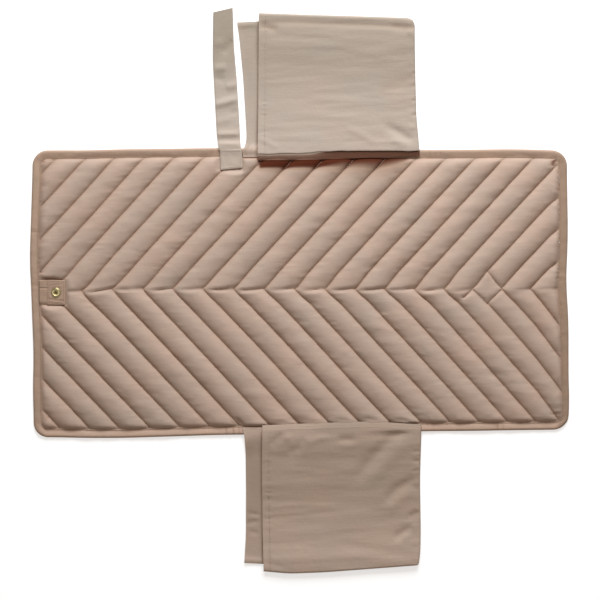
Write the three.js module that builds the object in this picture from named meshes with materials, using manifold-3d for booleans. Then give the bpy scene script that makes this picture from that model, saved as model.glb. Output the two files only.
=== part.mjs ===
// A folding quilted changing mat with two fold-out pockets, a strap and a brass snap.
// Millimetres, +Z up, lying open on its back cover. The origin is the middle of its underside.
import * as THREE from "three";
import { mergeVertices } from "three/addons/utils/BufferGeometryUtils.js";
import Module from "manifold-3d";

const wasm = await Module();
wasm.setup();

// Mat and its two fold lines
const matLength = 750;
const matWidth = 400;
const cornerRadius = 21;
const leastCornerRadius = 2;
const leftFoldX = -80;
const rightFoldX = 170;
const foldGap = 0.4;

// Cloth thicknesses and clearances
const coverCloth = 0.5;
const bindingCloth = 0.5;
const pressedWadding = 0.4;
const seatGap = 0.3;
const cutOverrun = 5;

// Chevron quilting
const seamHeight = 3.2;
const crownHeight = 8;
const channelPitch = 42;
const channelAngleDegrees = 47;
const nearestSeamX = -9.1;
const stepsPerChannel = 4;
const edgeDrawIn = 16;
const drawInInsetShare = 0.35;
const drawInRiseShare = 0.62;
const crownHeadroom = 0.2;

// Edge binding
const bindingWidth = 12;
const cornerSteps = 6;

// Snap patch on the left edge, with a brass socket
const patchLength = 25.8;
const patchWidth = 33.6;
const patchNeckLength = 9.5;
const patchNeckWidth = 26;
const patchThickness = 2;
const patchCornerRadius = 2.5;
const patchSnapFromEnd = 12.9;
const padMargin = 1.2;
const padSlopeShare = 0.6;

// Snap parts
const snapRadius = 6.8;
const snapHeight = 2.2;
const snapBoreRadius = 2.3;
const snapPostRadius = 2;
const snapPostDome = 0.5;
const washerRadius = 5.5;
const washerThickness = 0.6;
const studBallRadius = 3.1;
const studBallHeight = 1.6;
const studNeckShare = 0.85;
const studBulgeShare = 0.66;
const studFlangeThickness = 0.8;
const snapSides = 24;
const snapRimShares = [
  [0.92, 0],
  [1, 0.2],
  [1, 0.5],
  [0.86, 0.85],
  [0.7, 0.8],
  [0.56, 0.42],
];

// Strap on the top edge, beside the left fold
const strapFromFold = 1.4;
const strapBaseWidth = 31.3;
const strapBaseLength = 30.5;
const strapBaseThickness = 1.6;
const strapCloth = 1;
const strapReach = 197;
const strapTipWidth = 27.2;
const strapTipLean = 12;
const strapTipSlant = 6.4;
const strapRootGap = 0.6;
const strapStudFromTip = 17;
const strapFloorGap = 0.2;
// Share of the strap's reach, then share of the rise from the floor to the binding
const strapFoldShares = [
  [0, 1],
  [0.02, 0.92],
  [0.05, 0.42],
  [0.08, 0.12],
  [0.12, 0.02],
  [0.3, 0.02],
  [0.36, 0.2],
  [0.41, 0.3],
  [0.46, 0.1],
  [0.52, 0.03],
  [0.58, 0.16],
  [0.64, 0.04],
  [0.78, 0.1],
  [0.83, 0.5],
];

// Pockets, hinged along the inner edge of the binding
const pocketCloth = 0.6;
const pocketRoom = 4.6;
const pocketFoldClearance = 2;
const pocketRampStart = 1;
const pocketRampRun = 5.4;
const pocketRoll = 2.6;
const pocketLeastTurn = 0.3;
const pocketColumns = 16;
const pocketRows = 12;
const upperPocket = {
  name: "upper_pocket",
  side: 1,
  depth: 203,
  slant: 8,
  mouthSetback: 21,
  stripSetback: 13,
  foldHeight: 1.9,
  foldWidth: 17,
  foldShares: [
    [0.06, 0.88, 0.92, 0.88],
    [0.72, 0.1, 0.95, 0.36],
    [0.5, 0.08, 0.62, 0.22],
  ],
};
const lowerPocket = {
  name: "lower_pocket",
  side: -1,
  depth: 206,
  slant: 7,
  mouthSetback: 26,
  stripSetback: 11,
  foldHeight: 2,
  foldWidth: 19,
  foldShares: [
    [0.88, 0.12, 0.5, 0.5],
    [0.5, 0.5, 0.16, 0.86],
    [0.93, 0.38, 0.8, 0.52],
  ],
};

// Levels worked out from the layers, from the floor up
const backEdgeLow = bindingCloth + seatGap;
const backEdgeHigh = backEdgeLow + coverCloth;
const waddingEdgeLow = backEdgeHigh + seatGap;
const topEdgeLow = waddingEdgeLow + pressedWadding + seatGap;
const topEdgeHigh = topEdgeLow + coverCloth;
const bindingHeight = topEdgeHigh + seatGap + bindingCloth;
const sewnSeat = bindingHeight + seatGap;
const clothEdgeInset = bindingCloth + seatGap;
const pocketHingeY = matWidth / 2 - bindingWidth;
const strapFoldRise = sewnSeat;

const materials = {
  quilt: new THREE.MeshStandardMaterial({ color: 0xb9a492, roughness: 0.9, metalness: 0 }),
  wadding: new THREE.MeshStandardMaterial({ color: 0xe9e4da, roughness: 1, metalness: 0 }),
  backing: new THREE.MeshStandardMaterial({ color: 0xb29d8b, roughness: 0.9, metalness: 0 }),
  binding: new THREE.MeshStandardMaterial({ color: 0xb8a28e, roughness: 0.85, metalness: 0 }),
  pocket: new THREE.MeshStandardMaterial({ color: 0xbba792, roughness: 0.9, metalness: 0 }),
  strap: new THREE.MeshStandardMaterial({ color: 0xb8a38f, roughness: 0.88, metalness: 0 }),
  brass: new THREE.MeshStandardMaterial({ color: 0xb89a5e, roughness: 0.35, metalness: 1 }),
};

// A geometry, moved by a matrix, as a solid that can be cut and joined
function solidOf(geometry, placement = new THREE.Matrix4()) {
  const bare = new THREE.BufferGeometry();
  bare.setAttribute("position", geometry.getAttribute("position").clone());
  if (geometry.index) {
    bare.setIndex(geometry.index.clone());
  }
  bare.applyMatrix4(placement);
  const merged = mergeVertices(bare);
  const triVerts = new Uint32Array(merged.index.array);
  if (placement.determinant() < 0) {
    triVerts.reverse();
  }
  const vertProperties = merged.getAttribute("position").array;
  return new wasm.Manifold(new wasm.Mesh({ numProp: 3, vertProperties, triVerts }));
}

// A cut solid as a named mesh
function meshOf(name, solid, material) {
  const { vertProperties, triVerts } = solid.getMesh();
  const indexed = new THREE.BufferGeometry();
  indexed.setAttribute("position", new THREE.BufferAttribute(vertProperties, 3));
  indexed.setIndex(new THREE.BufferAttribute(triVerts, 1));
  const geometry = indexed.toNonIndexed();
  geometry.computeVertexNormals();
  return namedMesh(name, geometry, material);
}

function namedMesh(name, geometry, material) {
  const mesh = new THREE.Mesh(geometry, material.clone());
  mesh.name = name;
  return mesh;
}

// An upright block of a flat outline between two heights
function slab(outline, low, high) {
  const geometry = new THREE.ExtrudeGeometry(new THREE.Shape(outline), {
    depth: high - low,
    bevelEnabled: false,
  });
  geometry.translate(0, 0, low);
  return solidOf(geometry);
}

function box(lowX, highX, lowY, highY, lowZ, highZ) {
  const geometry = new THREE.BoxGeometry(highX - lowX, highY - lowY, highZ - lowZ);
  geometry.translate((lowX + highX) / 2, (lowY + highY) / 2, (lowZ + highZ) / 2);
  return solidOf(geometry);
}

// A rectangle with round corners, anticlockwise
function roundedRectangle(centreX, centreY, length, width, radius) {
  const points = [];
  for (let quarter = 0; quarter < 4; quarter += 1) {
    const sideX = quarter === 0 || quarter === 3 ? 1 : -1;
    const sideY = quarter < 2 ? 1 : -1;
    for (let step = 0; step <= cornerSteps; step += 1) {
      const angle = ((quarter + step / cornerSteps) * Math.PI) / 2;
      const x = centreX + sideX * (length / 2 - radius) + radius * Math.cos(angle);
      const y = centreY + sideY * (width / 2 - radius) + radius * Math.sin(angle);
      points.push(new THREE.Vector2(x, y));
    }
  }
  return points;
}

// The mat's outline, moved in from its edge
function matOutline(inset) {
  const radius = Math.max(cornerRadius - inset, leastCornerRadius);
  return roundedRectangle(0, 0, matLength - 2 * inset, matWidth - 2 * inset, radius);
}

// A frame of cloth between two insets and two heights
function matFrame(outerInset, innerInset, low, high) {
  const hole = slab(matOutline(innerInset), low - cutOverrun, high + cutOverrun);
  return slab(matOutline(outerInset), low, high).subtract(hole);
}

// A closed solid through outlines with equal numbers of points, from the lowest up
function loftedRings(rings) {
  const count = rings[0].length;
  const positions = rings.flat().flatMap((point) => [point.x, point.y, point.z]);
  const index = [];
  for (let level = 0; level + 1 < rings.length; level += 1) {
    for (let step = 0; step < count; step += 1) {
      const a = level * count + step;
      const b = level * count + ((step + 1) % count);
      index.push(a, b, b + count, a, b + count, a + count);
    }
  }
  const top = (rings.length - 1) * count;
  for (let step = 1; step + 1 < count; step += 1) {
    index.push(0, step + 1, step, top, top + step, top + step + 1);
  }
  const geometry = new THREE.BufferGeometry();
  geometry.setAttribute("position", new THREE.Float32BufferAttribute(positions, 3));
  geometry.setIndex(index);
  return solidOf(geometry);
}

// The space that the quilt's top stays in: flat inside the binding, drawn in next to it
function quiltEnvelope() {
  const rise = crownHeight + crownHeadroom - topEdgeHigh;
  const levels = [
    [clothEdgeInset, -cutOverrun],
    [clothEdgeInset, topEdgeHigh],
    [bindingWidth, topEdgeHigh],
    [bindingWidth + edgeDrawIn * drawInInsetShare, topEdgeHigh + rise * drawInRiseShare],
    [bindingWidth + edgeDrawIn, topEdgeHigh + rise],
    [bindingWidth + edgeDrawIn + crownHeadroom, topEdgeHigh + rise + crownHeadroom],
  ];
  const rings = levels.map(([inset, height]) =>
    matOutline(inset).map((point) => new THREE.Vector3(point.x, point.y, height)),
  );
  return loftedRings(rings);
}

// Half of the chevron quilting: channels of round section, running out from the spine
function channelHalf(side) {
  const lean = 1 / Math.tan(THREE.MathUtils.degToRad(channelAngleDegrees));
  const firstX = -matLength / 2 - (matWidth / 2) * lean;
  const first = Math.floor((firstX - nearestSeamX) / channelPitch);
  const last = Math.ceil((matLength / 2 - nearestSeamX) / channelPitch);
  const profile = new THREE.Shape();
  profile.moveTo(nearestSeamX + first * channelPitch, -cutOverrun);
  profile.lineTo(nearestSeamX + last * channelPitch, -cutOverrun);
  for (let step = (last - first) * stepsPerChannel; step >= 0; step -= 1) {
    const across = (step % stepsPerChannel) / stepsPerChannel;
    const x = nearestSeamX + (first + step / stepsPerChannel) * channelPitch;
    const crown = Math.sqrt(Math.sin(Math.PI * across)) * (crownHeight - seamHeight);
    profile.lineTo(x, seamHeight + crown);
  }
  const geometry = new THREE.ExtrudeGeometry(profile, {
    depth: matWidth / 2,
    bevelEnabled: false,
  });
  const alongSeam = new THREE.Vector3(lean, side, 0);
  const placement = new THREE.Matrix4().makeBasis(
    new THREE.Vector3(1, 0, 0),
    new THREE.Vector3(0, 0, 1),
    alongSeam,
  );
  return solidOf(geometry, placement);
}

// Where the snap patch and the strap are sewn down, the quilt is pressed to the binding's height
// and rises round the patch in a slope
function pressedPad(lowX, highX, lowY, highY) {
  const rise = crownHeight + cutOverrun - bindingHeight;
  const rings = [0, rise].map((up) => {
    const grow = padMargin + up * padSlopeShare;
    return roundedRectangle(
      (lowX + highX) / 2,
      (lowY + highY) / 2,
      highX - lowX + 2 * grow,
      highY - lowY + 2 * grow,
      padMargin,
    ).map((point) => new THREE.Vector3(point.x, point.y, bindingHeight + up));
  });
  return loftedRings(rings);
}

const snapPatchLowX = -matLength / 2 + bindingWidth + seatGap;
const snapPatchHighX = snapPatchLowX + patchNeckLength + patchLength;
const snapX = snapPatchHighX - patchSnapFromEnd;
const strapHighX = leftFoldX - strapFromFold;
const strapLowX = strapHighX - strapBaseWidth;
const strapBaseLowY = matWidth / 2 - strapBaseLength;

function quiltBody() {
  return channelHalf(1)
    .add(channelHalf(-1))
    .intersect(quiltEnvelope())
    .subtract(pressedPad(snapPatchLowX, snapPatchHighX, -patchWidth / 2, patchWidth / 2))
    .subtract(pressedPad(strapLowX, strapHighX, strapBaseLowY, matWidth / 2));
}

const quilt = quiltBody();

function topCover() {
  return quilt.subtract(quilt.translate([0, 0, -coverCloth]));
}

function wadding() {
  const low = coverCloth + seatGap;
  const innerInset = bindingWidth + seatGap + coverCloth + seatGap;
  return quilt
    .translate([0, 0, -coverCloth - seatGap])
    .subtract(slab(matOutline(0), -matWidth, low))
    .subtract(matFrame(0, innerInset, -matWidth, waddingEdgeLow));
}

function backCover() {
  const riserInset = bindingWidth + seatGap;
  const floor = slab(matOutline(riserInset), 0, coverCloth);
  const riser = matFrame(riserInset, riserInset + coverCloth, 0, backEdgeHigh);
  const edge = matFrame(clothEdgeInset, riserInset + coverCloth, backEdgeLow, backEdgeHigh);
  return floor.add(riser).add(edge);
}

function edgeBinding() {
  const slot = slab(matOutline(bindingCloth), bindingCloth, bindingHeight - bindingCloth);
  return matFrame(0, bindingWidth, 0, bindingHeight).subtract(slot);
}

// A slice of the mat between two fold lines, and on one side of the spine where side isn't zero
function slice(solid, lowX, highX, side = 0) {
  const lowY = side > 0 ? 0 : -matWidth;
  const highY = side < 0 ? 0 : matWidth;
  return solid.intersect(box(lowX, highX, lowY, highY, -matWidth, matWidth));
}

const panels = {
  left: [-matLength, leftFoldX - foldGap / 2],
  centre: [leftFoldX + foldGap / 2, rightFoldX - foldGap / 2],
  right: [rightFoldX + foldGap / 2, matLength],
};

function matPanel(panel, layers) {
  const [lowX, highX] = panels[panel];
  const group = new THREE.Group();
  group.add(meshOf("top_cover_" + panel, slice(layers.top, lowX, highX), materials.quilt));
  group.add(meshOf("wadding_" + panel, slice(layers.wadding, lowX, highX), materials.wadding));
  group.add(meshOf("back_cover_" + panel, slice(layers.back, lowX, highX), materials.backing));
  return group;
}

function bindingPiece(name, panel, binding, side) {
  const [lowX, highX] = panels[panel];
  return meshOf(name, slice(binding, lowX, highX, side), materials.binding);
}

// A turned profile of radius and height pairs, standing on its end
function lathed(pairs) {
  const points = pairs.map(([radius, height]) => new THREE.Vector2(radius, height));
  return new THREE.LatheGeometry(points, snapSides).rotateX(Math.PI / 2);
}

// The rolled ring of the socket, open in the middle
function snapSocket() {
  const rim = snapRimShares.map(([out, up]) => [snapRadius * out, snapHeight * up]);
  const seat = rim[rim.length - 1][1];
  return lathed([[snapBoreRadius, 0], ...rim, [snapBoreRadius, seat], [snapBoreRadius, 0]]);
}

// The washer behind the cloth, with the post that holds the snap through it
function snapWasher(postHeight) {
  return lathed([
    [0, 0],
    [washerRadius, 0],
    [washerRadius, washerThickness],
    [snapPostRadius, washerThickness],
    [snapPostRadius, postHeight - snapPostDome],
    [snapPostRadius / 2, postHeight],
    [0, postHeight],
  ]);
}

// The stud: a flange against the cloth and a ball that the socket grips
function snapStud() {
  const top = studFlangeThickness + studBallHeight;
  const neck = studBallRadius * studNeckShare;
  return lathed([
    [snapBoreRadius, 0],
    [snapRadius, 0],
    [snapRadius, studFlangeThickness / 2],
    [neck, studFlangeThickness],
    [studBallRadius, studFlangeThickness + studBallHeight * studBulgeShare],
    [neck, top],
    [snapBoreRadius, top],
    [snapBoreRadius, 0],
  ]);
}

function roundHole(x, y, radius, low, high) {
  const geometry = new THREE.CylinderGeometry(radius, radius, high - low, snapSides);
  geometry.rotateX(Math.PI / 2);
  geometry.translate(x, y, (low + high) / 2);
  return solidOf(geometry);
}

function snapPatch() {
  const top = sewnSeat + patchThickness;
  const patchX = snapPatchHighX - patchLength / 2;
  const plate = roundedRectangle(patchX, 0, patchLength, patchWidth, patchCornerRadius);
  const neckHighX = snapPatchLowX + patchNeckLength + patchCornerRadius;
  const recessHigh = sewnSeat + washerThickness + seatGap;
  const neck = box(
    snapPatchLowX,
    neckHighX,
    -patchNeckWidth / 2,
    patchNeckWidth / 2,
    sewnSeat,
    top,
  );
  return slab(plate, sewnSeat, top)
    .add(neck)
    .subtract(roundHole(snapX, 0, washerRadius + seatGap, sewnSeat - cutOverrun, recessHigh))
    .subtract(roundHole(snapX, 0, snapBoreRadius, sewnSeat, top + cutOverrun));
}

function snapOnPatch() {
  const group = new THREE.Group();
  group.position.set(snapX, 0, sewnSeat);
  const postHeight = patchThickness + snapHeight / 2;
  const washer = namedMesh("snap_washer", snapWasher(postHeight), materials.brass);
  const socket = namedMesh("snap_socket", snapSocket(), materials.brass);
  socket.position.z = patchThickness;
  group.add(washer, socket);
  return group;
}

// The strap's end that is sewn down over the binding
function strapBase() {
  const length = matWidth / 2 + strapRootGap / 2 - strapBaseLowY;
  const centreY = strapBaseLowY + length / 2;
  const outline = roundedRectangle(
    (strapLowX + strapHighX) / 2,
    centreY,
    strapBaseWidth,
    length,
    patchCornerRadius / 2,
  );
  return slab(outline, sewnSeat, sewnSeat + strapBaseThickness);
}

const strapRootY = matWidth / 2 + strapRootGap / 2 + seatGap;
const strapTipY = strapRootY + strapReach;
const strapStudY = strapTipY - strapTipSlant - strapStudFromTip;
const strapStudX = (strapLowX + strapHighX) / 2 - strapTipLean * (1 - strapStudFromTip / strapReach);
const strapStudSeat = strapFloorGap + studFlangeThickness + studBallHeight;

// The strap's outline seen from above: narrower and leaning away from the fold at its tip
function strapOutline() {
  const tipX = (strapLowX + strapHighX) / 2 - strapTipLean;
  return [
    new THREE.Vector2(strapLowX, strapRootY),
    new THREE.Vector2(strapHighX, strapRootY),
    new THREE.Vector2(tipX + strapTipWidth / 2, strapTipY),
    new THREE.Vector2(tipX - strapTipWidth / 2, strapTipY - strapTipSlant),
  ];
}

// One layer of the strap, its side view drawn along the strap and carried across it
function strapLayer(lift) {
  const floor = strapFoldShares.map(([along, up]) => [
    strapRootY + strapReach * along,
    Math.max(strapFloorGap, strapFoldRise * up),
  ]);
  floor.push([strapStudY - snapRadius - seatGap, strapStudSeat]);
  floor.push([strapTipY + cutOverrun, strapStudSeat]);
  const side = new THREE.Shape();
  floor.forEach(([y, z], step) =>
    step ? side.lineTo(y, z + lift) : side.moveTo(y - cutOverrun, z + lift),
  );
  floor.reverse().forEach(([y, z]) => side.lineTo(y, z + lift + strapCloth));
  side.lineTo(strapRootY - cutOverrun, strapFoldRise + lift + strapCloth);
  const length = matLength / 2;
  const geometry = new THREE.ExtrudeGeometry(side, { depth: length, bevelEnabled: false });
  const placement = new THREE.Matrix4().makeBasis(
    new THREE.Vector3(0, 1, 0),
    new THREE.Vector3(0, 0, 1),
    new THREE.Vector3(1, 0, 0),
  );
  placement.setPosition(-length, 0, 0);
  return solidOf(geometry, placement).intersect(slab(strapOutline(), -matWidth, matWidth));
}

function strapLining() {
  const top = strapStudSeat + strapCloth;
  const recess = roundHole(
    strapStudX,
    strapStudY,
    washerRadius + seatGap,
    top - washerThickness - seatGap / 2,
    top + cutOverrun,
  );
  const hole = roundHole(strapStudX, strapStudY, snapBoreRadius, 0, top);
  return strapLayer(0).subtract(recess).subtract(hole);
}

// The stud faces down under the strap, its washer lies between the two layers
function snapOnStrap() {
  const group = new THREE.Group();
  group.position.set(strapStudX, strapStudY, strapStudSeat);
  group.rotation.x = Math.PI;
  const stud = namedMesh("strap_stud", snapStud(), materials.brass);
  const postHeight = strapCloth + studFlangeThickness + studBallHeight;
  const washer = namedMesh("strap_washer", snapWasher(postHeight), materials.brass);
  washer.position.z = -strapCloth;
  group.add(stud, washer);
  return group;
}

const pocketLowX = leftFoldX + pocketFoldClearance;
const pocketHighX = rightFoldX - pocketFoldClearance;

// Height of the back panel's upper side, by its distance out from the spine
function pocketBackTop(y) {
  const overBinding = sewnSeat + pocketCloth;
  const along = (y - matWidth / 2 - pocketRampStart) / pocketRampRun;
  return THREE.MathUtils.lerp(overBinding, pocketCloth, THREE.MathUtils.clamp(along, 0, 1));
}

function pocketOuterY(pocket, x) {
  const mouthX = pocketLowX + pocket.mouthSetback;
  const across = THREE.MathUtils.clamp((x - mouthX) / (pocketHighX - mouthX), 0, 1);
  return pocketHingeY + pocket.depth - pocket.slant * across;
}

// The back panel lies on the floor and climbs over the binding to its row of stitches
function pocketBack(pocket) {
  const outer = pocketHingeY + pocket.depth;
  const rampLow = matWidth / 2 + pocketRampStart;
  const rampHigh = rampLow + pocketRampRun;
  const side = new THREE.Shape();
  side.moveTo(pocketHingeY, sewnSeat);
  side.lineTo(rampLow, sewnSeat);
  side.lineTo(rampHigh, 0);
  side.lineTo(outer, 0);
  side.lineTo(outer, pocketCloth);
  side.lineTo(rampHigh, pocketBackTop(rampHigh));
  side.lineTo(rampLow, pocketBackTop(rampLow));
  side.lineTo(pocketHingeY, pocketBackTop(pocketHingeY));
  const length = pocketHighX - pocketLowX;
  const geometry = new THREE.ExtrudeGeometry(side, { depth: length, bevelEnabled: false });
  const placement = new THREE.Matrix4().makeBasis(
    new THREE.Vector3(0, pocket.side, 0),
    new THREE.Vector3(0, 0, 1),
    new THREE.Vector3(1, 0, 0),
  );
  placement.setPosition(pocketLowX, 0, 0);
  const mouthX = pocketLowX + pocket.mouthSetback;
  const outline = [
    [pocketLowX, pocketHingeY],
    [pocketHighX, pocketHingeY],
    [pocketHighX, pocketOuterY(pocket, pocketHighX)],
    [mouthX, pocketOuterY(pocket, mouthX)],
    [pocketLowX, pocketOuterY(pocket, mouthX) - pocket.stripSetback],
  ].map(([x, y]) => new THREE.Vector2(x, y * pocket.side));
  const trim = slab(outline, -matWidth, matWidth);
  return solidOf(geometry, placement).intersect(trim);
}

// How far a point lies from the line between two points
function distanceToLine(x, y, startX, startY, endX, endY) {
  const line = new THREE.Line3(
    new THREE.Vector3(startX, startY, 0),
    new THREE.Vector3(endX, endY, 0),
  );
  const point = new THREE.Vector3(x, y, 0);
  return line.closestPointToPoint(point, true, new THREE.Vector3()).distanceTo(point);
}

// The rise of the loose front panel's folds at a place
function pocketFold(pocket, x, y) {
  const mouthX = pocketLowX + pocket.mouthSetback;
  const placeX = (share) => mouthX + share * (pocketHighX - mouthX);
  const placeY = (share) => pocketHingeY + share * pocket.depth;
  const rises = pocket.foldShares.map(([fromX, fromY, toX, toY]) => {
    const away = distanceToLine(x, y, placeX(fromX), placeY(fromY), placeX(toX), placeY(toY));
    const near = Math.max(0, 1 - away / pocket.foldWidth);
    return pocket.foldHeight * near * near * (3 - 2 * near);
  });
  return Math.max(...rises);
}

// Rows start at the stitches and at both ends of the ramp, then run on evenly
function pocketRowY(row, lastY) {
  const rampLow = matWidth / 2 + pocketRampStart;
  const starts = [pocketHingeY, rampLow, rampLow + pocketRampRun];
  if (row < starts.length) {
    return starts[row];
  }
  const firstY = starts[starts.length - 1];
  const along = (row + 1 - starts.length) / (pocketRows + 1 - starts.length);
  return THREE.MathUtils.lerp(firstY, lastY, along);
}

// A place on the front panel: a roof of cloth turned down along its far side and outer edge
function pocketFrontPoint(pocket, column, row, inset) {
  const mouthX = pocketLowX + pocket.mouthSetback;
  const turnX = column - pocketColumns;
  const turnY = row - pocketRows;
  const roofX = mouthX + ((pocketHighX - pocketRoll - mouthX) * column) / pocketColumns;
  const x = turnX > 0 ? pocketHighX - inset : roofX;
  const outerY = pocketOuterY(pocket, x);
  const roofY = pocketRowY(row, outerY - pocketRoll);
  const y = turnY > 0 ? outerY - inset : roofY;
  const bottom = pocketBackTop(y) + seatGap;
  const overBinding = sewnSeat + pocketCloth + seatGap;
  const roof = Math.max(pocketCloth + pocketRoom, overBinding) + pocketCloth;
  const turn = Math.max(turnX, turnY);
  if (turn > 1) {
    return new THREE.Vector3(x, y, bottom);
  }
  if (turn > 0) {
    return new THREE.Vector3(x, y, Math.max(roof - pocketRoll, bottom + pocketLeastTurn));
  }
  return new THREE.Vector3(x, y, roof - inset + pocketFold(pocket, x, y));
}

function pocketFront(pocket) {
  const columns = pocketColumns + 2;
  const rows = pocketRows + 2;
  const positions = [];
  for (const inset of [0, pocketCloth]) {
    for (let row = 0; row <= rows; row += 1) {
      for (let column = 0; column <= columns; column += 1) {
        positions.push(...pocketFrontPoint(pocket, column, row, inset));
      }
    }
  }
  const stride = columns + 1;
  const layer = stride * (rows + 1);
  const index = [];
  const quad = (a, b, c, d) => index.push(a, b, c, a, c, d);
  for (let row = 0; row < rows; row += 1) {
    for (let column = 0; column < columns; column += 1) {
      const a = row * stride + column;
      quad(a, a + 1, a + 1 + stride, a + stride);
      quad(a + layer, a + stride + layer, a + 1 + stride + layer, a + 1 + layer);
    }
  }
  const border = (a, b) => quad(a + layer, b + layer, b, a);
  for (let column = 0; column < columns; column += 1) {
    border(column, column + 1);
    border(rows * stride + column + 1, rows * stride + column);
  }
  for (let row = 0; row < rows; row += 1) {
    border((row + 1) * stride, row * stride);
    border(row * stride + columns, (row + 1) * stride + columns);
  }
  const geometry = new THREE.BufferGeometry();
  geometry.setAttribute("position", new THREE.Float32BufferAttribute(positions, 3));
  geometry.setIndex(index);
  return solidOf(geometry, new THREE.Matrix4().makeScale(1, pocket.side, 1));
}

function pocketGroup(pocket) {
  const group = new THREE.Group();
  group.add(meshOf(pocket.name + "_back", pocketBack(pocket), materials.pocket));
  group.add(meshOf(pocket.name + "_front", pocketFront(pocket), materials.pocket));
  return group;
}

function strapGroup() {
  const group = new THREE.Group();
  group.add(meshOf("strap_lining", strapLining(), materials.strap));
  group.add(meshOf("strap_face", strapLayer(strapCloth + seatGap), materials.strap));
  group.add(snapOnStrap());
  return group;
}

const layers = { top: topCover(), wadding: wadding(), back: backCover() };
const binding = edgeBinding();

const matLeft = matPanel("left", layers);
matLeft.add(bindingPiece("edge_binding_left", "left", binding, 0));
matLeft.add(meshOf("snap_patch", snapPatch(), materials.strap));
matLeft.add(snapOnPatch());
matLeft.add(meshOf("strap_base", strapBase(), materials.strap));
matLeft.add(strapGroup());

const matCentre = matPanel("centre", layers);
matCentre.add(bindingPiece("edge_binding_top", "centre", binding, 1));
matCentre.add(bindingPiece("edge_binding_bottom", "centre", binding, -1));

const matRight = matPanel("right", layers);
matRight.add(bindingPiece("edge_binding_right", "right", binding, 0));

const changingPad = new THREE.Group();
changingPad.add(matCentre, matLeft, matRight, pocketGroup(upperPocket), pocketGroup(lowerPocket));

export default changingPad;
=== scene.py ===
import math

import bmesh
import bpy
import numpy as np
from bpy.props import FloatProperty, FloatVectorProperty, IntProperty, PointerProperty
from mathutils import Matrix, Vector


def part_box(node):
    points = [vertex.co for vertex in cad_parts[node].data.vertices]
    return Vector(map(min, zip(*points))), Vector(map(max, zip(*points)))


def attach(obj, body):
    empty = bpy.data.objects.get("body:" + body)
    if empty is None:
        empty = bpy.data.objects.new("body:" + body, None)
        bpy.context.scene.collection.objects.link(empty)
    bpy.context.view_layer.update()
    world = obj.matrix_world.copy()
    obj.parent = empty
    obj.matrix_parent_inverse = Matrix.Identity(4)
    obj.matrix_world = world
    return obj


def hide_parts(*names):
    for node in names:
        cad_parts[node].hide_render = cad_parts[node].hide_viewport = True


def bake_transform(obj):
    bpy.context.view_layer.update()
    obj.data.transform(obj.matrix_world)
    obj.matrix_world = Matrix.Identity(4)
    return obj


bl_info = {
    "name": "Folding changing mat",
    "version": (1, 0, 0),
    "blender": (4, 5, 0),
    "location": "View3D > Sidebar > Changing mat",
    "description": "Builds a quilted cotton changing mat with pockets, a strap and a snap",
    "category": "Add Mesh",
}

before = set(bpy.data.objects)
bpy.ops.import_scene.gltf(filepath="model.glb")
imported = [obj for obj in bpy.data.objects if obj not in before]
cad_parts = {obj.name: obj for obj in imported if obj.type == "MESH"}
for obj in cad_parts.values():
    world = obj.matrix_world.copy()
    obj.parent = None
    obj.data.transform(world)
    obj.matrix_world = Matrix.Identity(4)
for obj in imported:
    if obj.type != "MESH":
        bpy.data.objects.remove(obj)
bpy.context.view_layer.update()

MM = 0.001
SHARP_ANGLE = math.radians(55)
CUT_NEAR = 1e-6
HALF_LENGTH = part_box("edge_binding_right")[1].x
HALF_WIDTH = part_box("edge_binding_top")[1].y
LEFT_FOLD_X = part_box("top_cover_left")[1].x
RIGHT_FOLD_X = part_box("top_cover_right")[0].x
SNAP_LOW, SNAP_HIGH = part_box("snap_socket")
SNAP_PLACE = ((SNAP_LOW + SNAP_HIGH) / 2).xy
STUD_LOW, STUD_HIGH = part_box("strap_stud")
STUD_PLACE = ((STUD_LOW + STUD_HIGH) / 2).xy
PATCH_LOW, PATCH_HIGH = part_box("snap_patch")
BASE_LOW, BASE_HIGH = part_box("strap_base")

# Edges of the mat as it lies: no edge is quite straight
EDGE_X = np.array((-375, -343, -300, -243, -209, -160, -133, 0, 100, 175, 243, 300, 345, 375)) * MM
TOP_EDGE = (199, 199.5, 199.2, 201.2, 201.2, 202, 202.6, 201.8, 200.8, 199.8, 200.3, 201.2, 199.9, 198.5)
BOTTOM_EDGE = (203, 202.8, 204, 203.8, 202.6, 201.2, 200, 198, 196, 194.4, 194, 192.9, 192.5, 192)
EDGE_Y = np.array((-200, -159, -137, -90, -47, -24, -2, 20, 43, 88, 132, 177, 200)) * MM
LEFT_EDGE = (372.4, 372.3, 373.7, 372.3, 373.7, 375.1, 375.4, 376.5, 377.9, 376.5, 375.1, 373.7, 373.7)
RIGHT_EDGE = (375.9, 378.7, 377.2, 377.2, 377.2, 376.1, 374.9, 373.5, 374.9, 376.3, 375.6, 374.9, 374.9)

# How far the seams stray from their straight lines, in millimetres, by x and by distance from the spine
STRAY_X = np.array((-340, -255, -170, -85, 0, 85, 170, 255, 330, 368)) * MM
STRAY_Y = np.array((-170, -90, -20, 20, 90, 170)) * MM
STRAY = (
    (-3.3, -3.3, -1.8, -1.7, -2.4, -0.7, -0.4, -3.6, -9.2, -24),
    (-8.0, -4.2, -1.8, 0.5, 1.3, 2.6, 1.8, -1.8, -7.8, -20),
    (-7.5, -3.2, -0.7, 2.7, 5.3, 5.9, 4.5, 0.8, -4.0, -14),
    (4.5, 1.9, 0.5, 2.1, 2.3, 2.3, 0.4, -2.0, -2.8, -3.5),
    (3.6, 1.3, 0.3, 0.2, 1.6, 1.8, 0.1, -2.8, -4.6, -6),
    (0.9, 0.1, 0.7, 1.7, 1.9, 2.0, 2.6, 1.3, -1.7, -3),
)

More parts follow.
